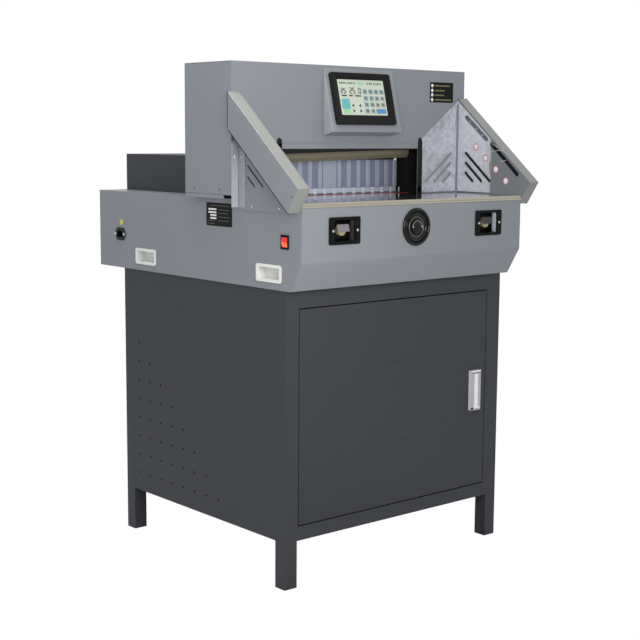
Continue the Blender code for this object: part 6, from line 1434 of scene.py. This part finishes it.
class CUTTER_OT_stations(CutterOperator, bpy.types.Operator):
    """Round the cut stations, turn their buttons and add their screws"""

    bl_idname = "cutter.stations"
    bl_label = "Cut stations"

    def execute(self, context):
        size = sizes()
        # The glare strip is a painted reflection in the right station and painted shade in the left; the left
        # hood's grey is a painted reflection of light from above
        for side, glare, hood in (("left", "wall_dim", "hood_painted_reflection"), ("right", "wall_painted_reflection", "wall_dim")):
            station, button = "cut_station_" + side, "cut_button_" + side
            shell = soften(station, size.plate_round * 2, "gloss_black", segments=3,
                           least=LEAST_EDGE["station"])
            middle = (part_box(station)[0][0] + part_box(station)[1][0]) / 2
            wall = max(face.center.x for face in shell.data.polygons
                       if face.normal.x < -FACING and face.center.x > middle)
            front, foot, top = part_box(station)[0][1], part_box(station)[0][2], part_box(station)[1][2]
            put_plate(station + "_glare", "machine", glare, "black_plastic",
                      (wall - SKIN, front + size.glare_depth * GLARE_PLACE, (foot + top) / 2), (0, 1, 0),
                      LEFT, size.glare_depth, (top - foot) * GLARE_TALL, SKIN, size.small_screw / 3)
            low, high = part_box(button)
            radius, tall = (high[0] - low[0]) / 2, size.button_height
            centre = ((low[0] + high[0]) / 2, low[1] + tall, (low[2] + high[2]) / 2)
            tail, stem = centre[1] - high[1], size.button_stem
            bm = bmesh.new()
            cap = [(radius * share, tall * height) for share, height in BUTTON_SECTION]
            lathe(bm, cap + [(stem, 0), (stem, tail), (0, tail)], centre, FRONT, RIGHT)
            place_piece(bm, button + "_turned", button, "green_plastic", (button,))
            place = ((low[0] + high[0]) / 2, low[1] - size.hood_gap, high[2] - size.hood_height * HOOD_DROP)
            put_plate(station + "_hood", "machine", hood, "black_plastic", place, RIGHT,
                      Vector(HOOD_FACING).normalized(), size.hood_width, size.hood_height, size.key_rise * 2,
                      size.plate_round * 3)
            self.add_screws(station)
        return {"FINISHED"}

    def add_screws(self, station):
        """A pale screw at each side of the station's flange."""
        face = Facet(station, FRONT)
        bm = bmesh.new()
        for u in STATION_SCREW_PLACES:
            screw_head(bm, face.at(u, 0.5, SKIN), face.out, sizes().station_screw, sizes().screw_rise)
        place_piece(bm, station + "_screws", "machine", "screw")


class CUTTER_OT_side_fittings(CutterOperator, bpy.types.Operator):
    """Round the switch, the mains inlet and the carry handles, and add the inlet's screws"""

    bl_idname = "cutter.side_fittings"
    bl_label = "Side fittings"

    def execute(self, context):
        size = sizes()
        soften("power_switch_frame", size.plate_round * 2, "gloss_black", least=LEAST_EDGE["switch"])
        # The rocker's glow is painted light; its orange lower face is a painted highlight
        rocker = soften("power_rocker", size.plate_round * 2, "rocker_red", least=LEAST_EDGE["switch"])
        low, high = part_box("power_rocker")
        middle = (low[2] + high[2]) / 2
        repaint(rocker, "rocker_painted_highlight", lambda face: face.normal.x < -0.5 and face.center.z < middle)
        soften("power_inlet", size.plate_round * 1.5, "black_plastic", least=LEAST_EDGE["inlet"])
        for side in ("left", "right"):
            for end in ("front", "rear"):
                soften("carry_handle_" + side + "_" + end, size.plate_round * 3, "white_plastic", segments=3,
                       least=LEAST_EDGE["handle"])
        face = Facet("power_inlet", LEFT)
        bm = bmesh.new()
        for u in INLET_SCREW_PLACES:
            screw_head(bm, face.at(u, 0.5, SKIN), face.out, size.screw_head, size.screw_rise)
        place_piece(bm, "inlet_screws", "machine", "screw")
        return {"FINISHED"}


class CUTTER_OT_plates(CutterOperator, bpy.types.Operator):
    """Add the bare plates and the plain discs"""

    bl_idname = "cutter.plates"
    bl_label = "Plates and discs"

    def execute(self, context):
        size = sizes()
        side, head = Facet("body_side_left", LEFT), Facet("head_front_cover", FRONT)
        self.add_plate("rating_plate", side, size.rating_plate_place, size.rating_plate_width,
                       size.rating_plate_height, "white_mark_and_glint", RATING_FIELDS)
        self.add_faint_fields(side)
        self.add_plate("head_plate", head, size.head_plate_place, size.head_plate_width,
                       size.head_plate_height, "olive_mark", HEAD_FIELDS)
        dots = bmesh.new()
        for v in HEAD_DOT_ROWS:
            place = self.on_plate(head, size.head_plate_place, size.head_plate_width,
                                  size.head_plate_height, HEAD_DOT_COLUMN, v)
            self.add_disc(dots, place, head.out, head.right, 0, size.head_dot_size / 2)
        place_piece(dots, "head_plate_dots", "machine", "white_mark_and_glint")

        disc = bmesh.new()
        u = (size.yellow_disc_place[0] - side.corner.dot(side.right)) / side.width
        place = side.at(u, size.yellow_disc_place[1] / side.height, SKIN)
        self.add_disc(disc, place, side.out, side.right, 0, size.yellow_disc_size / 2)
        place_piece(disc, "yellow_disc", "machine", "yellow_mark")
        self.add_guard_discs()
        return {"FINISHED"}

    def on_plate(self, facet, place, width, height, across, down):
        """A point on a plate whose upper left corner lies a way in and down from its facet's corner."""
        lift = facet.out * (SKIN + sizes().plate_thickness)
        aside, below = facet.right * (place[0] + width * across), facet.up * (place[1] + height * down)
        return facet.corner + aside - below + lift

    def add_plate(self, name, facet, place, width, height, finish, fields):
        """A black plate with round corners and some plain fields on it."""
        bm, marks = bmesh.new(), bmesh.new()
        across = (place[0] / facet.width, (place[0] + width) / facet.width)
        down = (place[1] / facet.height, (place[1] + height) / facet.height)
        slab(bm, facet, across, down, SKIN, sizes().plate_thickness, PATCH_CORNER)
        place_piece(bm, name, "machine", "plate_black")
        for (left, right), (top, bottom) in fields:
            u = [across[0] + (across[1] - across[0]) * share for share in (left, right)]
            v = [down[0] + (down[1] - down[0]) * share for share in (top, bottom)]
            slab(marks, facet, u, v, SKIN + sizes().plate_thickness, SKIN)
        place_piece(marks, name + "_fields", "machine", finish)

    def add_faint_fields(self, facet):
        """Faint plain lines on the rating plate."""
        size = sizes()
        bm = bmesh.new()
        for left, right, v in FAINT_LINES:
            place = self.on_plate(facet, size.rating_plate_place, size.rating_plate_width,
                                  size.rating_plate_height, (left + right) / 2, v)
            add_plate(bm, place, facet.right, facet.out, size.rating_plate_width * (right - left),
                      size.rating_plate_height * FAINT_LINE_HEIGHT, SKIN, 0)
        place_piece(bm, "rating_plate_lines", "machine", "faint_mark")

    def add_disc(self, bm, place, out, across, inner, outer):
        """A thin disc or ring that stands on a surface."""
        rise = SKIN * 2
        profile = [(inner, 0), (inner, rise), (outer - rise, rise), (outer, rise * DISC_EASE), (outer, 0)]
        if inner:
            profile.append((inner, 0))
        else:
            profile = [(0, rise), *profile[2:], (0, 0)]
        lathe(bm, profile, place, out, across, DISC_STEPS)

    def add_guard_discs(self):
        """Four ringed discs in a slanting row on the right guard, with plain faces."""
        size = sizes()
        rings, faces = bmesh.new(), bmesh.new()
        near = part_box("corner_guard_right")
        for i in range(DISC_COUNT):
            y = size.disc_row_start[0] + size.disc_row_step[0] * i
            z = size.disc_row_start[1] + size.disc_row_step[1] * i
            on_corner = y - size.disc_size / 2 > near[0][1]
            x = near[1][0] - size.guard_sheet if on_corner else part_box("side_guard_right")[0][0]
            place = Vector((x - SKIN, y, z))
            self.add_disc(rings, place, LEFT, UP, size.disc_size * DISC_INNER[0], size.disc_size / 2)
            self.add_disc(faces, place, LEFT, UP, 0, size.disc_size * DISC_INNER[1])
        place_piece(rings, "guard_disc_rings", "machine", "pink_ring")
        place_piece(faces, "guard_disc_faces", "machine", "disc_face")


class CUTTER_OT_screws(CutterOperator, bpy.types.Operator):
    """Add the casing screws that show on the head, the guards and the arms"""

    bl_idname = "cutter.screws"
    bl_label = "Casing screws"

    def execute(self, context):
        size = sizes()
        bright, dull = bmesh.new(), bmesh.new()
        for word, side in SIDES:
            out = Vector((side, 0, 0))
            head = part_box("head_side_" + word)
            edge = 0 if side < 0 else 1
            for depth in size.head_screw_depths:
                place = Vector((head[edge][0] + side * SKIN, head[0][1] + depth,
                                head[0][2] + size.head_screw_rise))
                screw_head(dull, place, out, size.dull_screw, size.screw_rise * FLAT_SCREW)
            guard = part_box("side_guard_" + word)
            for depth in size.guard_screw_depths:
                place = Vector((guard[edge][0] + side * SKIN, guard[1][1] - depth,
                                guard[0][2] + size.guard_screw_rise))
                screw_head(bright, place, out, size.small_screw, size.screw_rise)
            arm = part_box("guard_arm_" + word)
            place = Vector((arm[edge][0] + side * SKIN, arm[0][1] + size.arm_screw_place[0],
                            arm[0][2] + size.arm_screw_place[1]))
            screw_head(dull, place, out, size.dull_screw, size.screw_rise * FLAT_SCREW)
        place_piece(bright, "guard_screws", "machine", "screw")
        place_piece(dull, "casing_screws", "machine", "dull_screw")
        return {"FINISHED"}


class CUTTER_OT_stage(CutterOperator, bpy.types.Operator):
    """Set the pale floor, the soft lights and the camera"""

    bl_idname = "cutter.stage"
    bl_label = "Stage"

    def execute(self, context):
        setting = studio()
        bm = bmesh.new()
        bmesh.ops.create_circle(bm, cap_ends=True, segments=96, radius=setting.floor_radius)
        mesh = bpy.data.meshes.new("floor")
        bm.to_mesh(mesh)
        bm.free()
        floor = bpy.data.objects.new("floor", mesh)
        context.scene.collection.objects.link(floor)
        mesh.materials.append(self.floor_finish(setting))
        self.add_world(context, setting)
        self.add_lamp(context, setting, "front_lamp", setting.front_lamp_power, setting.front_lamp_place)
        self.add_lamp(context, setting, "top_lamp", setting.top_lamp_power, setting.top_lamp_place)
        self.add_camera(context, setting)
        context.scene.view_settings.view_transform = "Standard"
        return {"FINISHED"}

    def add_world(self, context, setting):
        """Even pale light all round, over a white background."""
        world = bpy.data.worlds.new("studio")
        context.scene.world = world
        world.use_nodes = True
        tree = world.node_tree
        light = tree.nodes["Background"]
        light.inputs["Color"].default_value = (*setting.ambient_colour, 1)
        light.inputs["Strength"].default_value = setting.ambient
        seen = tree.nodes.new("ShaderNodeBackground")
        seen.inputs["Strength"].default_value = 1.0
        seen.inputs["Color"].default_value = (1, 1, 1, 1)
        split_by_ray(tree, light.outputs["Background"], seen.outputs["Background"],
                     tree.nodes["World Output"].inputs["Surface"])

    def floor_finish(self, setting):
        """A pale floor that the camera sees as the background's white."""
        material = paint("floor_finish", setting.floor_colour, roughness=0.7, peel=200, cloud=0.01, bump=0.0)
        tree = material.node_tree
        glow = tree.nodes.new("ShaderNodeEmission")
        glow.inputs["Color"].default_value = (1, 1, 1, 1)
        split_by_ray(tree, tree.nodes["Principled BSDF"].outputs["BSDF"], glow.outputs["Emission"],
                     tree.nodes["Material Output"].inputs["Surface"])
        return material

    def add_lamp(self, context, setting, name, power, place):
        """A broad soft lamp that looks at the machine."""
        data = bpy.data.lights.new(name, "AREA")
        data.shape = "DISK"
        data.size = setting.lamp_size
        data.energy = power
        data.color = setting.lamp_colour
        lamp = bpy.data.objects.new(name, data)
        lamp.location = place
        lamp.rotation_euler = (Vector(setting.lamp_aim) - Vector(place)).to_track_quat("-Z", "Y").to_euler()
        lamp.visible_camera = False
        context.scene.collection.objects.link(lamp)

    def add_camera(self, context, setting):
        """The photograph's view."""
        data = bpy.data.cameras.new("camera")
        data.sensor_width = 36.0
        data.lens = setting.lens
        data.clip_end = setting.floor_radius * 4
        camera = bpy.data.objects.new("camera", data)
        look = Vector((math.sin(setting.yaw) * math.cos(setting.pitch),
                       math.cos(setting.yaw) * math.cos(setting.pitch), -math.sin(setting.pitch)))
        level = Vector((math.cos(setting.yaw), -math.sin(setting.yaw), 0))
        lift = level.cross(look)
        right = level * math.cos(setting.roll) + lift * math.sin(setting.roll)
        up = lift * math.cos(setting.roll) - level * math.sin(setting.roll)
        turn = Matrix((right, up, -look)).transposed().to_4x4()
        camera.matrix_world = Matrix.Translation(setting.place) @ turn
        context.scene.collection.objects.link(camera)
        context.scene.camera = camera


class CUTTER_PT_panel(bpy.types.Panel):
    """Sidebar panel that lists the dressing steps"""

    bl_label = "Paper Cutter"
    bl_space_type = "VIEW_3D"
    bl_region_type = "UI"
    bl_category = "Paper Cutter"

    def draw(self, context):
        for step in STEPS:
            self.layout.operator(step.bl_idname)


STEPS = (CUTTER_OT_finishes, CUTTER_OT_casing, CUTTER_OT_guards, CUTTER_OT_table, CUTTER_OT_stand,
         CUTTER_OT_display,
         CUTTER_OT_handwheel, CUTTER_OT_stations, CUTTER_OT_side_fittings, CUTTER_OT_plates, CUTTER_OT_screws,
         CUTTER_OT_stage)
CLASSES = (CutterSizes, CutterColours, CutterStudio, *STEPS, CUTTER_PT_panel)


def register():
    for each in CLASSES:
        bpy.utils.register_class(each)
    bpy.types.Scene.cutter_sizes = PointerProperty(type=CutterSizes)
    bpy.types.Scene.cutter_colours = PointerProperty(type=CutterColours)
    bpy.types.Scene.cutter_studio = PointerProperty(type=CutterStudio)


def unregister():
    del bpy.types.Scene.cutter_studio
    del bpy.types.Scene.cutter_colours
    del bpy.types.Scene.cutter_sizes
    for each in reversed(CLASSES):
        bpy.utils.unregister_class(each)


def main():
    """Dress the machine step by step."""
    register()
    bpy.ops.cutter.finishes()
    bpy.ops.cutter.casing()
    bpy.ops.cutter.guards()
    bpy.ops.cutter.table()
    bpy.ops.cutter.stand()
    bpy.ops.cutter.display()
    bpy.ops.cutter.handwheel()
    bpy.ops.cutter.stations()
    bpy.ops.cutter.side_fittings()
    bpy.ops.cutter.plates()
    bpy.ops.cutter.screws()
    bpy.ops.cutter.stage()


if __name__ == "__main__":
    main()
